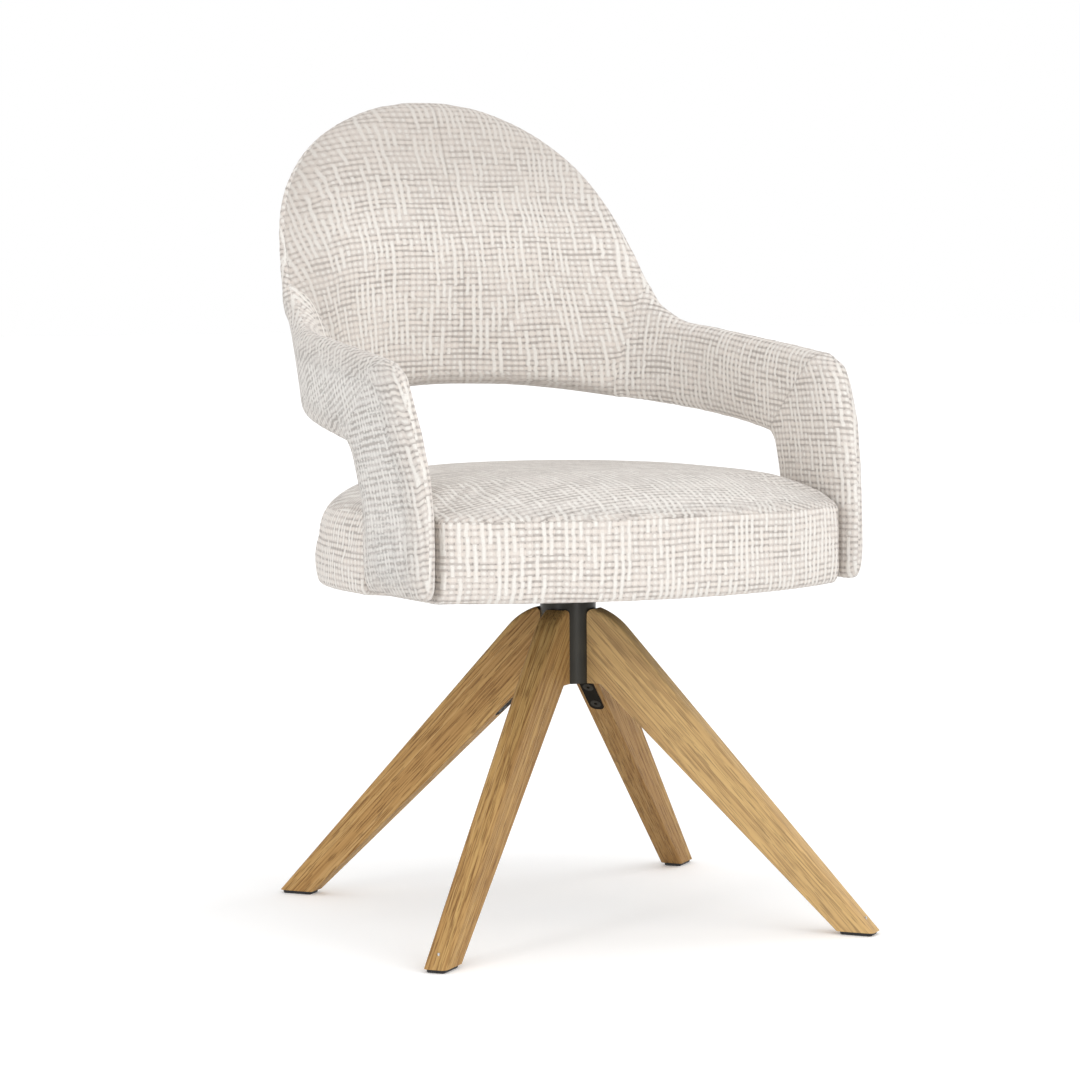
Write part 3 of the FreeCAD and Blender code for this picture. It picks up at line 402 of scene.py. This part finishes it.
def dust_cloth(name):
    """Thin black non-woven cloth, pressed in a grid of small dots."""
    cloth = Finish(name)
    place = cloth.own_place()
    x, y, _ = cloth.parts(place)
    dots = (x * 2094.0).wave() * (y * 2094.0).wave()
    fibre = cloth.noise(place, 700.0, 3.0)
    colour = cloth.mixed(fibre, srgb(26, 26, 27), srgb(52, 51, 50))
    colour = cloth.mixed(dots.rise(0.4, 0.7) * 0.6, colour, srgb(20, 20, 21))
    return cloth.show(colour, 0.9, fibre * 0.5 - dots.rise(0.4, 0.7), 0.0002)


# Soft pieces: their place along the band, and the cloth laid over them

def eased(value, low, high):
    share = np.clip((value - low) / (high - low), 0.0, 1.0)
    return share * share * (3.0 - 2.0 * share)


def along_band(x, y):
    """Length along the arms' and back's middle line in plan, from the back's middle to the right."""
    turn_middle = np.arctan2(x, y - BACK_CENTRE_Y)
    turn_corner = np.arctan2(x - CORNER_CENTRE[0], y - CORNER_CENTRE[1])
    middle = BACK_PLAN_RADIUS * turn_middle
    corner = CORNER_FROM + CORNER_PLAN_RADIUS * (np.minimum(turn_corner, TURN_ARM) - TURN_BACK)
    ahead = np.array((math.cos(TURN_ARM), -math.sin(TURN_ARM)))
    start = CORNER_CENTRE + CORNER_PLAN_RADIUS * np.array((math.sin(TURN_ARM), math.cos(TURN_ARM)))
    straight = np.maximum(0.0, (x - start[0]) * ahead[0] + (y - start[1]) * ahead[1])
    return np.where(turn_middle < TURN_BACK, middle, corner + straight)


def band_out(along):
    turn = np.where(along < CORNER_FROM, along / BACK_PLAN_RADIUS,
                    np.minimum(TURN_ARM, TURN_BACK + (along - CORNER_FROM) / CORNER_PLAN_RADIUS))
    return np.stack((np.sin(turn), np.cos(turn), np.zeros_like(turn)), axis=-1)


def rolled(first, second, normal, along_first, along_second, radius):
    """Cloth lies flat on a face and keeps its length where it rolls over an edge of a radius."""
    lean_first = (normal * along_first).sum(axis=-1)
    lean_second = (normal * along_second).sum(axis=-1)
    side = np.sqrt(lean_first ** 2 + lean_second ** 2)
    angle = np.arcsin(np.clip(side, 0.0, 1.0))
    extra = radius * (angle - np.sin(angle)) / np.maximum(side, 1e-6)
    return first + extra * lean_first, second + extra * lean_second


def back_cloth(place, normal, past_edge=True):
    """The back's cloth. Past the side edges it goes on round them, and doesn't come back over itself."""
    side = np.where(place[:, 0] < 0.0, -1.0, 1.0)
    x = np.abs(place[:, 0])
    z = place[:, 2]
    lean = 0.076 * eased(z, 0.545, 0.785) + 0.3 * np.maximum(0.0, z - 0.74)
    along = along_band(x, place[:, 1] - lean)
    out = band_out(along)
    level = np.stack((out[:, 1] * side, -out[:, 0], out[:, 2]), axis=-1)
    upright = np.broadcast_to(np.array((0.0, 0.28, 0.96)), normal.shape)
    first, second = rolled(along, z * 1.05, normal, level, upright, BACK_EDGE_RADIUS)
    if past_edge:
        facing = (normal * out * np.stack((side, np.ones_like(side), side), axis=-1)).sum(axis=-1)
        on_edge = (np.abs(facing) < 0.15) & (x > 0.12)
        edge = np.polyval(np.polyfit(z[on_edge], first[on_edge], 4), z)
        first = np.where((facing > 0.0) & (x > 0.1), np.maximum(2.0 * edge - first, first), first)
    first = first * side
    fan = np.clip((-first - 0.05) / 0.25, 0.0, 1.0)
    first = first + 0.3 * fan * (z - 0.70)
    second = second + 0.3 * 0.125 * fan ** 2
    return np.stack((first, second), axis=-1)


def arm_cloth(place, normal):
    side = np.where(place[:, 0] < 0.0, -1.0, 1.0)
    x = np.abs(place[:, 0])
    z = place[:, 2]
    along = along_band(x, place[:, 1])
    out = band_out(along)
    level = np.stack((out[:, 1] * side, -out[:, 0], out[:, 2]), axis=-1)
    upright = np.broadcast_to(np.array((0.0, 0.0, 1.0)), normal.shape)
    slope = 0.119 * np.minimum(place[:, 1], 0.16)
    first, second = rolled(along, z - slope, normal, level, upright, ARM_EDGE_RADIUS)
    return np.stack((first * side, second), axis=-1)


def rear_cloth(place, normal):
    return back_cloth(place, normal, past_edge=False)


def turned(flat, place, angle):
    """Cloth cut with its threads turned, mirrored from right to left."""
    side = np.where(place[:, 0] < 0.0, -1.0, 1.0)
    first = flat[:, 0] * side
    turned_first = first * math.cos(angle) + flat[:, 1] * math.sin(angle)
    return np.stack((turned_first * side, flat[:, 1] * math.cos(angle) - first * math.sin(angle)), axis=-1)


def outer_arm_cloth(place, normal):
    return turned(arm_cloth(place, normal), place, OUTER_ARM_TURN)


POST_FRONT = np.array(((0.360, -0.178), (0.392, -0.181), (0.438, -0.181), (0.487, -0.175), (0.524, -0.165),
                       (0.555, -0.1515), (0.577, -0.1406), (0.600, -0.120)))


def post_cloth(place, normal):
    side = np.where(place[:, 0] < 0.0, -1.0, 1.0)
    z = place[:, 2]
    front = np.interp(z, POST_FRONT[:, 0], POST_FRONT[:, 1])
    level = np.broadcast_to(np.array((0.0, -1.0, 0.0)), normal.shape)
    upright = np.broadcast_to(np.array((0.0, 0.0, 1.0)), normal.shape)
    first, second = rolled(place[:, 1] - front, z, normal, -level, upright, POST_EDGE_RADIUS)
    return np.stack((first * side, second), axis=-1)


def outer_post_cloth(place, normal):
    return turned(post_cloth(place, normal), place, OUTER_POST_TURN)


def seat_top_cloth(place, normal):
    return np.stack((place[:, 0], 0.45 * (0.481 - place[:, 2]) - place[:, 1]), axis=-1)


def seat_front_cloth(place, normal):
    x = place[:, 0]
    return np.stack((x * (1.0 + 0.15 * x * x), place[:, 2] - 0.010 * np.clip(-normal[:, 2], 0.0, 1.0)), axis=-1)


def seat_side_cloth(place, normal):
    x, y = place[:, 0], place[:, 1]
    behind = y - SEAT_CENTRE_Y
    perimeter = SEAT_PLAN_RADIUS * np.arctan2(np.maximum(0.0, behind), x) + np.minimum(0.0, behind) * np.sign(x)
    return np.stack((perimeter, place[:, 2] - 0.010 * np.clip(-normal[:, 2], 0.0, 1.0)), axis=-1)


def taken_mesh(piece):
    """The piece's mesh with its modifiers worked in."""
    graph = bpy.context.evaluated_depsgraph_get()
    mesh = bpy.data.meshes.new_from_object(piece.evaluated_get(graph))
    piece.modifiers.clear()
    old = piece.data
    piece.data = mesh
    bpy.data.meshes.remove(old)


def points_of(mesh):
    found = np.empty(len(mesh.vertices) * 3)
    mesh.vertices.foreach_get("co", found)
    return found.reshape(-1, 3)


def normals_of(mesh):
    found = np.empty(len(mesh.vertices) * 3)
    mesh.vertex_normals.foreach_get("vector", found)
    return found.reshape(-1, 3)


def put_points(mesh, points):
    mesh.vertices.foreach_set("co", points.ravel())
    mesh.update()


def outer_skin(mesh):
    """Only the outermost closed skin is kept, without what lies inside it."""
    body = bmesh.new()
    body.from_mesh(mesh)
    body.verts.ensure_lookup_table()
    unseen = set(body.verts)
    skins = []
    while unseen:
        start = unseen.pop()
        skin = [start]
        edge = [start]
        while edge:
            here = edge.pop()
            for link in here.link_edges:
                other = link.other_vert(here)
                if other in unseen:
                    unseen.discard(other)
                    skin.append(other)
                    edge.append(other)
        skins.append(skin)
    largest = max(skins, key=len)
    for skin in skins:
        if skin is not largest:
            bmesh.ops.delete(body, geom=skin, context="VERTS")
    body.to_mesh(mesh)
    body.free()


def foam(name, nodes, cell, smoothing):
    """One closed form in even faces, over the CAD solids it stands for."""
    body = bmesh.new()
    for node in nodes:
        body.from_mesh(bpy.data.objects[node].data)
    mesh = bpy.data.meshes.new(name)
    body.to_mesh(mesh)
    body.free()
    piece = bpy.data.objects.new(name, mesh)
    scene.collection.objects.link(piece)
    even = piece.modifiers.new("even_faces", "REMESH")
    even.mode = "VOXEL"
    even.voxel_size = cell
    taken_mesh(piece)
    outer_skin(piece.data)
    soft = piece.modifiers.new("soft_edges", "SMOOTH")
    soft.factor = 0.5
    soft.iterations = smoothing
    taken_mesh(piece)
    return piece


def puffed(piece, start, most, held):
    """The cover is blown up from a slightly smaller shape, held at its seams, and never moves far."""
    mesh = piece.data
    points = points_of(mesh)
    inward = points - normals_of(mesh) * (start * (1.0 - held))[:, None]
    put_points(mesh, inward)
    group = piece.vertex_groups.new(name="held")
    for index in np.nonzero(held > 0.01)[0]:
        group.add([int(index)], float(held[index]), "REPLACE")
    cover = piece.modifiers.new("cover", "CLOTH")
    cover.settings.quality = 4
    cover.settings.use_pressure = True
    cover.settings.uniform_pressure_force = 4.0
    cover.settings.effector_weights.gravity = 0.0
    cover.settings.vertex_group_mass = "held"
    cover.settings.pin_stiffness = 1.0
    cover.collision_settings.use_collision = False
    for step in range(1, 21):
        scene.frame_set(step)
    graph = bpy.context.evaluated_depsgraph_get()
    blown = piece.evaluated_get(graph).to_mesh()
    moved = points_of(blown) - inward
    piece.evaluated_get(graph).to_mesh_clear()
    piece.modifiers.clear()
    piece.vertex_groups.clear()
    scene.frame_set(1)
    length = np.linalg.norm(moved, axis=1)
    moved *= np.minimum(1.0, most / np.maximum(length, 1e-9))[:, None]
    put_points(mesh, inward + moved)


def refined(piece):
    finer = piece.modifiers.new("finer", "SUBSURF")
    finer.levels = 1
    finer.render_levels = 1
    taken_mesh(piece)


def panel_distances(nodes, points, reach=0.06):
    """Distance from each point to each panel's solid, as far as a reach, and the nearest place on it."""
    gaps = np.empty((len(points), len(nodes)))
    places = np.empty((len(points), len(nodes), 3))
    for index, node in enumerate(nodes):
        mesh = bpy.data.objects[node].data
        tree = BVHTree.FromPolygons([v.co for v in mesh.vertices], [p.vertices for p in mesh.polygons])
        for row, point in enumerate(points):
            near, _, _, gap = tree.find_nearest(Vector(point), reach)
            gaps[row, index] = reach if near is None else gap
            places[row, index] = point if near is None else near
    return gaps, places


def sewn(piece, nodes, depth, reach):
    """The cover is drawn in along the seams between its panels, but not where the arms join the back."""
    mesh = piece.data
    points = points_of(mesh)
    normals = normals_of(mesh)
    gaps, places = panel_distances(nodes, points)
    order = np.argsort(gaps, axis=1)
    rows = np.arange(len(points))
    other = order[:, 1]
    from_seam = gaps[rows, other] - gaps[rows, order[:, 0]]
    onto = places[rows, other] - points
    onto -= normals * (onto * normals).sum(axis=1)[:, None]
    on_arm = np.array([not node.startswith("back") for node in nodes])
    same = on_arm[other] == on_arm[order[:, 0]]
    close = ((from_seam < 0.0013) & same)[:, None]
    points = points + np.where(close, onto * 0.8, 0.0)
    points = points - normals * (depth * same * np.exp(-(from_seam / reach) ** 2))[:, None]
    put_points(mesh, points)


def relaxed(flat, points, faces, rounds):
    """The flat cloth is eased until its threads keep the lengths that they have on the form."""
    pairs = np.concatenate([faces[:, (a, b)] for a, b in ((0, 1), (1, 2), (2, 3), (3, 0), (0, 2), (1, 3))])
    pairs = pairs[pairs[:, 0] != pairs[:, 1]]
    first, second = pairs[:, 0], pairs[:, 1]
    lengths = np.linalg.norm(points[first] - points[second], axis=1)
    count = len(points)
    ties = np.maximum(np.bincount(first, minlength=count) + np.bincount(second, minlength=count), 1)
    for _ in range(rounds):
        step = flat[second] - flat[first]
        now = np.maximum(np.hypot(step[:, 0], step[:, 1]), 1e-9)
        pull = step * (0.5 * (now - lengths) / now)[:, None]
        for axis in (0, 1):
            moved = np.bincount(first, pull[:, axis], count) - np.bincount(second, pull[:, axis], count)
            flat[:, axis] += 1.7 * moved / ties
    return flat


def corners_of(mesh):
    """The vertex of each face corner, and how many corners each face has."""
    corners = np.empty(len(mesh.loops), dtype=np.int64)
    mesh.loops.foreach_get("vertex_index", corners)
    sizes = np.empty(len(mesh.polygons), dtype=np.int64)
    mesh.polygons.foreach_get("loop_total", sizes)
    return corners, sizes


def clothed(piece, lays, lay_of_face, spread, paleness_and_painted_shade, from_seam):
    """Each corner of each face learns its place on the flat cloth, its paleness and painted shade, and its distance
    to the seam.
    """
    mesh = piece.data
    points = points_of(mesh)
    normals = normals_of(mesh)
    corners, sizes = corners_of(mesh)
    starts = np.empty(len(mesh.polygons), dtype=np.int64)
    mesh.polygons.foreach_get("loop_start", starts)
    offsets = np.minimum(np.arange(4)[None, :], sizes[:, None] - 1)
    faces = corners[starts[:, None] + offsets]
    face_of = np.repeat(np.arange(len(sizes)), sizes)
    lay_of_corner = lay_of_face[face_of]
    laid_out = np.zeros((len(corners), 3))
    for index, lay in enumerate(lays):
        flat = relaxed(lay(points, normals), points, faces[lay_of_face == index], EASING_ROUNDS)
        chosen = lay_of_corner == index
        laid_out[chosen, :2] = flat[corners[chosen]] * spread
    laid_out[:, 2] = paleness_and_painted_shade[corners]
    shown = mesh.attributes.new("cloth_place", "FLOAT_VECTOR", "CORNER")
    shown.data.foreach_set("vector", laid_out.ravel())
    edge = mesh.attributes.new("seam_distance", "FLOAT", "CORNER")
    edge.data.foreach_set("value", from_seam[corners])


def face_means(mesh, values):
    """The mean of a value of the vertices over each face's corners."""
    corners, sizes = corners_of(mesh)
    face_of = np.repeat(np.arange(len(sizes)), sizes)
    return np.bincount(face_of, values[corners], len(sizes)) / sizes


def finished(piece, finish, nodes):
    piece.data.materials.clear()
    piece.data.materials.append(finish)
    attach(piece, "seat")
    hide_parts(*nodes)


def near_seams(piece, nodes, reach):
    """1 on a seam between panels, down to 0 away from it."""
    points = points_of(piece.data)
    gaps, _ = panel_distances(nodes, points)
    gaps.sort(axis=1)
    return np.exp(-((gaps[:, 1] - gaps[:, 0]) / reach) ** 2)


BACK_PANELS = ["back_front_right", "back_front_left", "back_rear_cover"]


def arm_panels(side):
    return [f"arm_inner_pad_{side}", f"arm_outer_pad_{side}", f"post_inner_pad_{side}", f"post_outer_pad_{side}"]


def ahead_of_seam(place):
    """How far a place lies on the arm's side of the seam between arm and back, the same left and right."""
    mirrored = np.stack((np.abs(place[:, 0]), place[:, 1], place[:, 2]), axis=-1)
    return (mirrored - ARM_SEAM_PLACE) @ ARM_SEAM_AHEAD


def soft_shell():
    """The back and both arms as one soft form, with an edge all along the seams between them."""
    nodes = BACK_PANELS + arm_panels("right") + arm_panels("left")
    shell = foam("soft_shell", nodes, SHELL_CELL, 4)
    puffed(shell, 0.0018, 0.0032, near_seams(shell, nodes, 0.008))
    points = points_of(shell.data)
    for side in (1.0, -1.0):
        turn = np.array((side, 1.0, 1.0))
        away = np.linalg.norm(points - BRIDGE_PLACE * turn, axis=1)
        points += BRIDGE_WAY * turn * (BRIDGE_RISE * np.exp(-(away / BRIDGE_REACH) ** 2))[:, None]
    put_points(shell.data, points)
    refined(shell)
    body = bmesh.new()
    body.from_mesh(shell.data)
    for side in (1.0, -1.0):
        turn = np.array((side, 1.0, 1.0))
        near = [face for face in body.faces if face.calc_center_median().x * side > SEAM_REACH_X
                and abs(ahead_of_seam(np.array([face.calc_center_median()]))[0]) < 0.01]
        ring = {edge for face in near for edge in face.edges} | {corner for face in near for corner in face.verts}
        bmesh.ops.bisect_plane(body, geom=near + list(ring), dist=0.0004, plane_co=ARM_SEAM_PLACE * turn,
                               plane_no=ARM_SEAM_AHEAD * turn)
    body.to_mesh(shell.data)
    body.free()
    sewn(shell, nodes, 0.0004, 0.003)
    return shell


def parted(shell, name, kept):
    """The part of the shell that one group of panels covers, closed where it was sewn to the rest."""
    body = bmesh.new()
    body.from_mesh(shell.data)
    middles = np.array([face.calc_center_median() for face in body.faces])
    away = [face for face, keep in zip(body.faces, kept(middles)) if not keep]
    bmesh.ops.delete(body, geom=away, context="FACES")
    for face in body.faces:
        face.smooth = True
    rim = [edge for edge in body.edges if edge.is_boundary]
    for edge in rim:
        edge.smooth = False
    ends = bmesh.ops.holes_fill(body, edges=rim, sides=0)["faces"]
    for face in bmesh.ops.poke(body, faces=ends)["faces"]:
        face.smooth = False
    mesh = bpy.data.meshes.new(name)
    body.to_mesh(mesh)
    body.free()
    piece = bpy.data.objects.new(name, mesh)
    scene.collection.objects.link(piece)
    return piece


def lays_of(piece, lay):
    """Which lay each face belongs to, and -1 for the closing faces in the seam between arm and back."""
    mesh = piece.data
    smooth = np.empty(len(mesh.polygons), dtype=bool)
    mesh.polygons.foreach_get("use_smooth", smooth)
    return np.where(smooth, lay, -1)


def back_upholstery(shell, finish):
    piece = parted(shell, "back_upholstery", lambda middles:
                   (ahead_of_seam(middles) < 0.0) | (np.abs(middles[:, 0]) < SEAM_REACH_X))
    points = points_of(piece.data)
    gaps, _ = panel_distances(BACK_PANELS, points)
    front = gaps[:, :2].min(axis=1)
    behind = front - gaps[:, 2]
    # Painted shade: the back is darkened towards its top, towards its left edge and along its bottom hem, where less
    # light falls on it
    painted_shade = 0.42 * eased(points[:, 2], 0.72, 0.86) + 0.36 * eased(-points[:, 0], 0.12, 0.22)
    painted_shade += 0.5 * eased(BACK_HEM - 0.6 * points[:, 0] ** 2 - points[:, 2], -0.014, -0.002)
    paleness_and_painted_shade = np.where(behind > 0.0, 0.8 * eased(behind, 0.0, 0.03), -np.minimum(painted_shade, 0.6))
    centre_seam = np.abs(gaps[:, 0] - gaps[:, 1])
    centre_seam[behind > 0.0] = 0.05
    past_edge = behind - 0.02 * eased(np.abs(points[:, 0]), 0.12, 0.17)
    lay = lays_of(piece, (face_means(piece.data, past_edge) > 0.0).astype(np.int64))
    clothed(piece, [back_cloth, rear_cloth], lay, (0.88, 0.97), paleness_and_painted_shade, centre_seam)
    finished(piece, finish, BACK_PANELS)


def arm_upholstery(shell, side, finish):
    nodes = arm_panels(side)
    turn = 1.0 if side == "right" else -1.0
    piece = parted(shell, f"arm_upholstery_{side}", lambda middles:
                   (ahead_of_seam(middles) > 0.0) & (middles[:, 0] * turn > SEAM_REACH_X))
    gaps, _ = panel_distances(nodes, points_of(piece.data))
    outside = gaps[:, (0, 2)].min(axis=1) - gaps[:, (1, 3)].min(axis=1)
    paleness_and_painted_shade = 0.1 + 0.85 * eased(outside, 0.0, 0.03)
    mitre = gaps[:, :2].min(axis=1) - gaps[:, 2:].min(axis=1)
    mitre_seam = np.where(outside < 0.0, np.abs(mitre), 0.05)
    down = (face_means(piece.data, mitre) > 0.0).astype(np.int64)
    lay = lays_of(piece, down * 2 + (face_means(piece.data, outside) > 0.0))
    clothed(piece, [arm_cloth, outer_arm_cloth, post_cloth, outer_post_cloth], lay, (1.0, 1.0), paleness_and_painted_shade, mitre_seam)
    finished(piece, finish, nodes)


def seat_seam_distance(points):
    in_front = (points[:, 1] < -0.12) & (np.abs(points[:, 0]) < 0.26)
    return np.where(in_front, points[:, 2] - SEAT_SEAM, 0.05)


def seat_upholstery(finish):
    nodes = ["seat_cushion"]
    piece = foam("seat_upholstery", nodes, SEAT_CELL, 3)
    points = points_of(piece.data)
    held = np.clip((0.366 - points[:, 2]) / 0.004, 0.0, 1.0)
    held = np.maximum(held, np.exp(-(seat_seam_distance(points) / 0.006) ** 2))
    puffed(piece, 0.002, 0.004, held)
    refined(piece)
    points = points_of(piece.data)
    seam = seat_seam_distance(points)
    put_points(piece.data, points - normals_of(piece.data) * (0.0008 * np.exp(-(seam / 0.003) ** 2))[:, None])
    height = face_means(piece.data, points[:, 2])
    forward = face_means(piece.data, -points[:, 1])
    lay = np.where(height > SEAT_SEAM, 0, np.where(forward > 0.10, 1, 2))
    piece.data.shade_smooth()
    paleness_and_painted_shade = 0.4 * eased(points[:, 2], SEAT_SEAM, SEAT_SEAM + 0.012)
    clothed(piece, [seat_top_cloth, seat_front_cloth, seat_side_cloth], lay, (1.1, 1.0), paleness_and_painted_shade, seam)
    finished(piece, finish, nodes)


def hard_pieces():
    """Wood, metal and plastic keep their CAD shapes and get their finishes."""
    finishes = {
        "hub_paint": painted_steel("hub_paint_satin", srgb(36, 33, 25), srgb(60, 56, 45), 0.26, 0.22),
        "black_steel": painted_steel("black_steel_satin", srgb(22, 18, 12), srgb(38, 33, 24), 0.55, 0.06),
        "black_screws": painted_steel("black_screw_steel", srgb(40, 37, 31), srgb(66, 62, 54), 0.4, 0.12),
        "zinc_steel": plain_metal("zinc_plated_steel", srgb(196, 197, 198), srgb(150, 150, 152)),
        "glide_plastic": moulded_plastic("glide_black_plastic", srgb(22, 22, 23), srgb(44, 44, 44)),
        "bearing_plastic": moulded_plastic("bearing_black_plastic", srgb(28, 28, 29), srgb(50, 50, 50)),
        "plywood": plywood("beech_plywood"),
        "dust_cloth": dust_cloth("dust_cover_cloth"),
    }
    for number, (leg, angle) in enumerate(LEG_ANGLES.items()):
        finish = oak(f"oak_{leg}", math.radians(angle), 3.7 * number + 1.3, *LEG_PAINTED_SHADE_AND_LIGHT[leg])
        for slot in bpy.data.objects[f"leg_{leg}"].material_slots:
            slot.material = finish
    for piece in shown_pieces():
        for slot in piece.material_slots:
            name = slot.material.name.split(".")[0] if slot.material else ""
            if name in finishes:
                slot.material = finishes[name]


def plain_floor():
    mesh = bpy.data.meshes.new("studio_floor")
    reach = 40.0
    corners = [(-reach, -reach, 0), (reach, -reach, 0), (reach, reach, 0), (-reach, reach, 0)]
    mesh.from_pydata(corners, [], [(0, 1, 2, 3)])
    floor = bpy.data.objects.new("studio_floor", mesh)
    scene.collection.objects.link(floor)
    paper = Finish("white_paper")
    weave = paper.noise(paper.own_place(), 60.0, 2.0)
    seen_paper = paper.mixed(weave, (0.985, 0.985, 0.985, 1.0), (1.0, 1.0, 1.0, 1.0))
    looked_at = paper.add("ShaderNodeLightPath", {}, {}, "Is Camera Ray")
    mirrored = paper.add("ShaderNodeLightPath", {}, {}, "Is Glossy Ray")
    through = paper.add("ShaderNodeLightPath", {}, {}, "Is Transmission Ray")
    shown = looked_at.most(mirrored).most(through)
    white = paper.mixed(shown, (0.0, 0.0, 0.0, 1.0), (1.0, 1.0, 1.0, 1.0))
    paper.feed(paper.surface.inputs["Emission Color"], white)
    colour = paper.mixed(shown, (0.8, 0.8, 0.8, 1.0), seen_paper)
    mesh.materials.append(paper.show(colour, 0.9, Emission_Strength=0.12))
    floor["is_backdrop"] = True


def white_surroundings():
    world = bpy.data.worlds.new("white_studio")
    scene.world = world
    world.use_nodes = True
    nodes = world.node_tree.nodes
    links = world.node_tree.links
    soft = nodes["Background"]
    soft.inputs["Color"].default_value = (1.0, 1.0, 1.0, 1.0)
    soft.inputs["Strength"].default_value = 0.86
    seen = nodes.new("ShaderNodeBackground")
    seen.inputs["Color"].default_value = (1.0, 1.0, 1.0, 1.0)
    seen.inputs["Strength"].default_value = 1.0
    path = nodes.new("ShaderNodeLightPath")
    choice = nodes.new("ShaderNodeMixShader")
    shown = path.outputs["Is Camera Ray"]
    for ray in ("Is Glossy Ray", "Is Transmission Ray"):
        either = nodes.new("ShaderNodeMath")
        either.operation = "MAXIMUM"
        links.new(shown, either.inputs[0])
        links.new(path.outputs[ray], either.inputs[1])
        shown = either.outputs[0]
    links.new(shown, choice.inputs[0])
    links.new(soft.outputs[0], choice.inputs[1])
    links.new(seen.outputs[0], choice.inputs[2])
    links.new(choice.outputs[0], nodes["World Output"].inputs["Surface"])


def hung(name, lamp, direction):
    """What holds a lamp and faces a direction."""
    holder = bpy.data.objects.new(name, lamp)
    holder.rotation_mode = "QUATERNION"
    holder.rotation_quaternion = Vector(direction).to_track_quat("-Z", "Y")
    scene.collection.objects.link(holder)
    return holder


def window(name, place, towards, width, height, power):
    """A soft white panel, not seen itself."""
    lamp = bpy.data.lights.new(name, "AREA")
    lamp.shape = "RECTANGLE"
    lamp.size = width
    lamp.size_y = height
    lamp.energy = power
    holder = hung(name, lamp, Vector(towards) - Vector(place))
    holder.location = place
    holder.visible_camera = False


def far_light(name, direction, strength, angle):
    """Light from far away. A wide angle in degrees makes its shadows soft."""
    lamp = bpy.data.lights.new(name, "SUN")
    lamp.energy = strength
    lamp.angle = math.radians(angle)
    hung(name, lamp, direction)


def studio():
    """White floor and surroundings, with broad light from the front right, the front and the left."""
    plain_floor()
    white_surroundings()
    far_light("key_light", (-0.50, 0.72, -0.62), 0.48, 50.0)
    far_light("side_light", (-0.93, 0.10, -0.45), 0.3, 30.0)
    far_light("top_light", (0.0, 0.2, -1.0), 0.2, 50.0)
    window("left_window", (-3.2, -1.3, 0.9), (0.0, 0.0, 0.45), 0.6, 1.8, 25.0)
    window("front_window", (0.25, -1.9, 0.35), (0.0, 0.0, 0.45), 0.45, 0.65, 5.0)


def photo_camera():
    """The place that the photograph was taken from."""
    azimuth = math.radians(-27.746)
    elevation = math.radians(4.3911)
    roll = math.radians(-0.3357)
    level = math.cos(elevation)
    back = Vector((math.sin(azimuth) * level, -math.cos(azimuth) * level, math.sin(elevation)))
    right = Vector((math.cos(azimuth), math.sin(azimuth), 0.0))
    up = back.cross(right)
    turned_right = right * math.cos(roll) + up * math.sin(roll)
    turned_up = up * math.cos(roll) - right * math.sin(roll)
    lens = bpy.data.cameras.new("photo_camera")
    focal_length, photo_width = 3325.04, 1080.0  # both in the photo's pixels
    lens.sensor_width = 36.0
    lens.lens = 36.0 * focal_length / photo_width
    lens.clip_end = 200.0
    camera = bpy.data.objects.new("photo_camera", lens)
    turn = Matrix((turned_right, turned_up, back)).transposed().to_4x4()
    camera.matrix_world = Matrix.Translation((-1.681, -3.132, 0.677)) @ turn
    scene.collection.objects.link(camera)
    scene.camera = camera


photo_camera()
studio()
scene.view_settings.view_transform = "Standard"
cloth_finish = woven_cloth("ivory_grey_weave")
whole_shell = soft_shell()
back_upholstery(whole_shell, cloth_finish)
arm_upholstery(whole_shell, "right", cloth_finish)
arm_upholstery(whole_shell, "left", cloth_finish)
bpy.data.objects.remove(whole_shell)
seat_upholstery(cloth_finish)
hard_pieces()
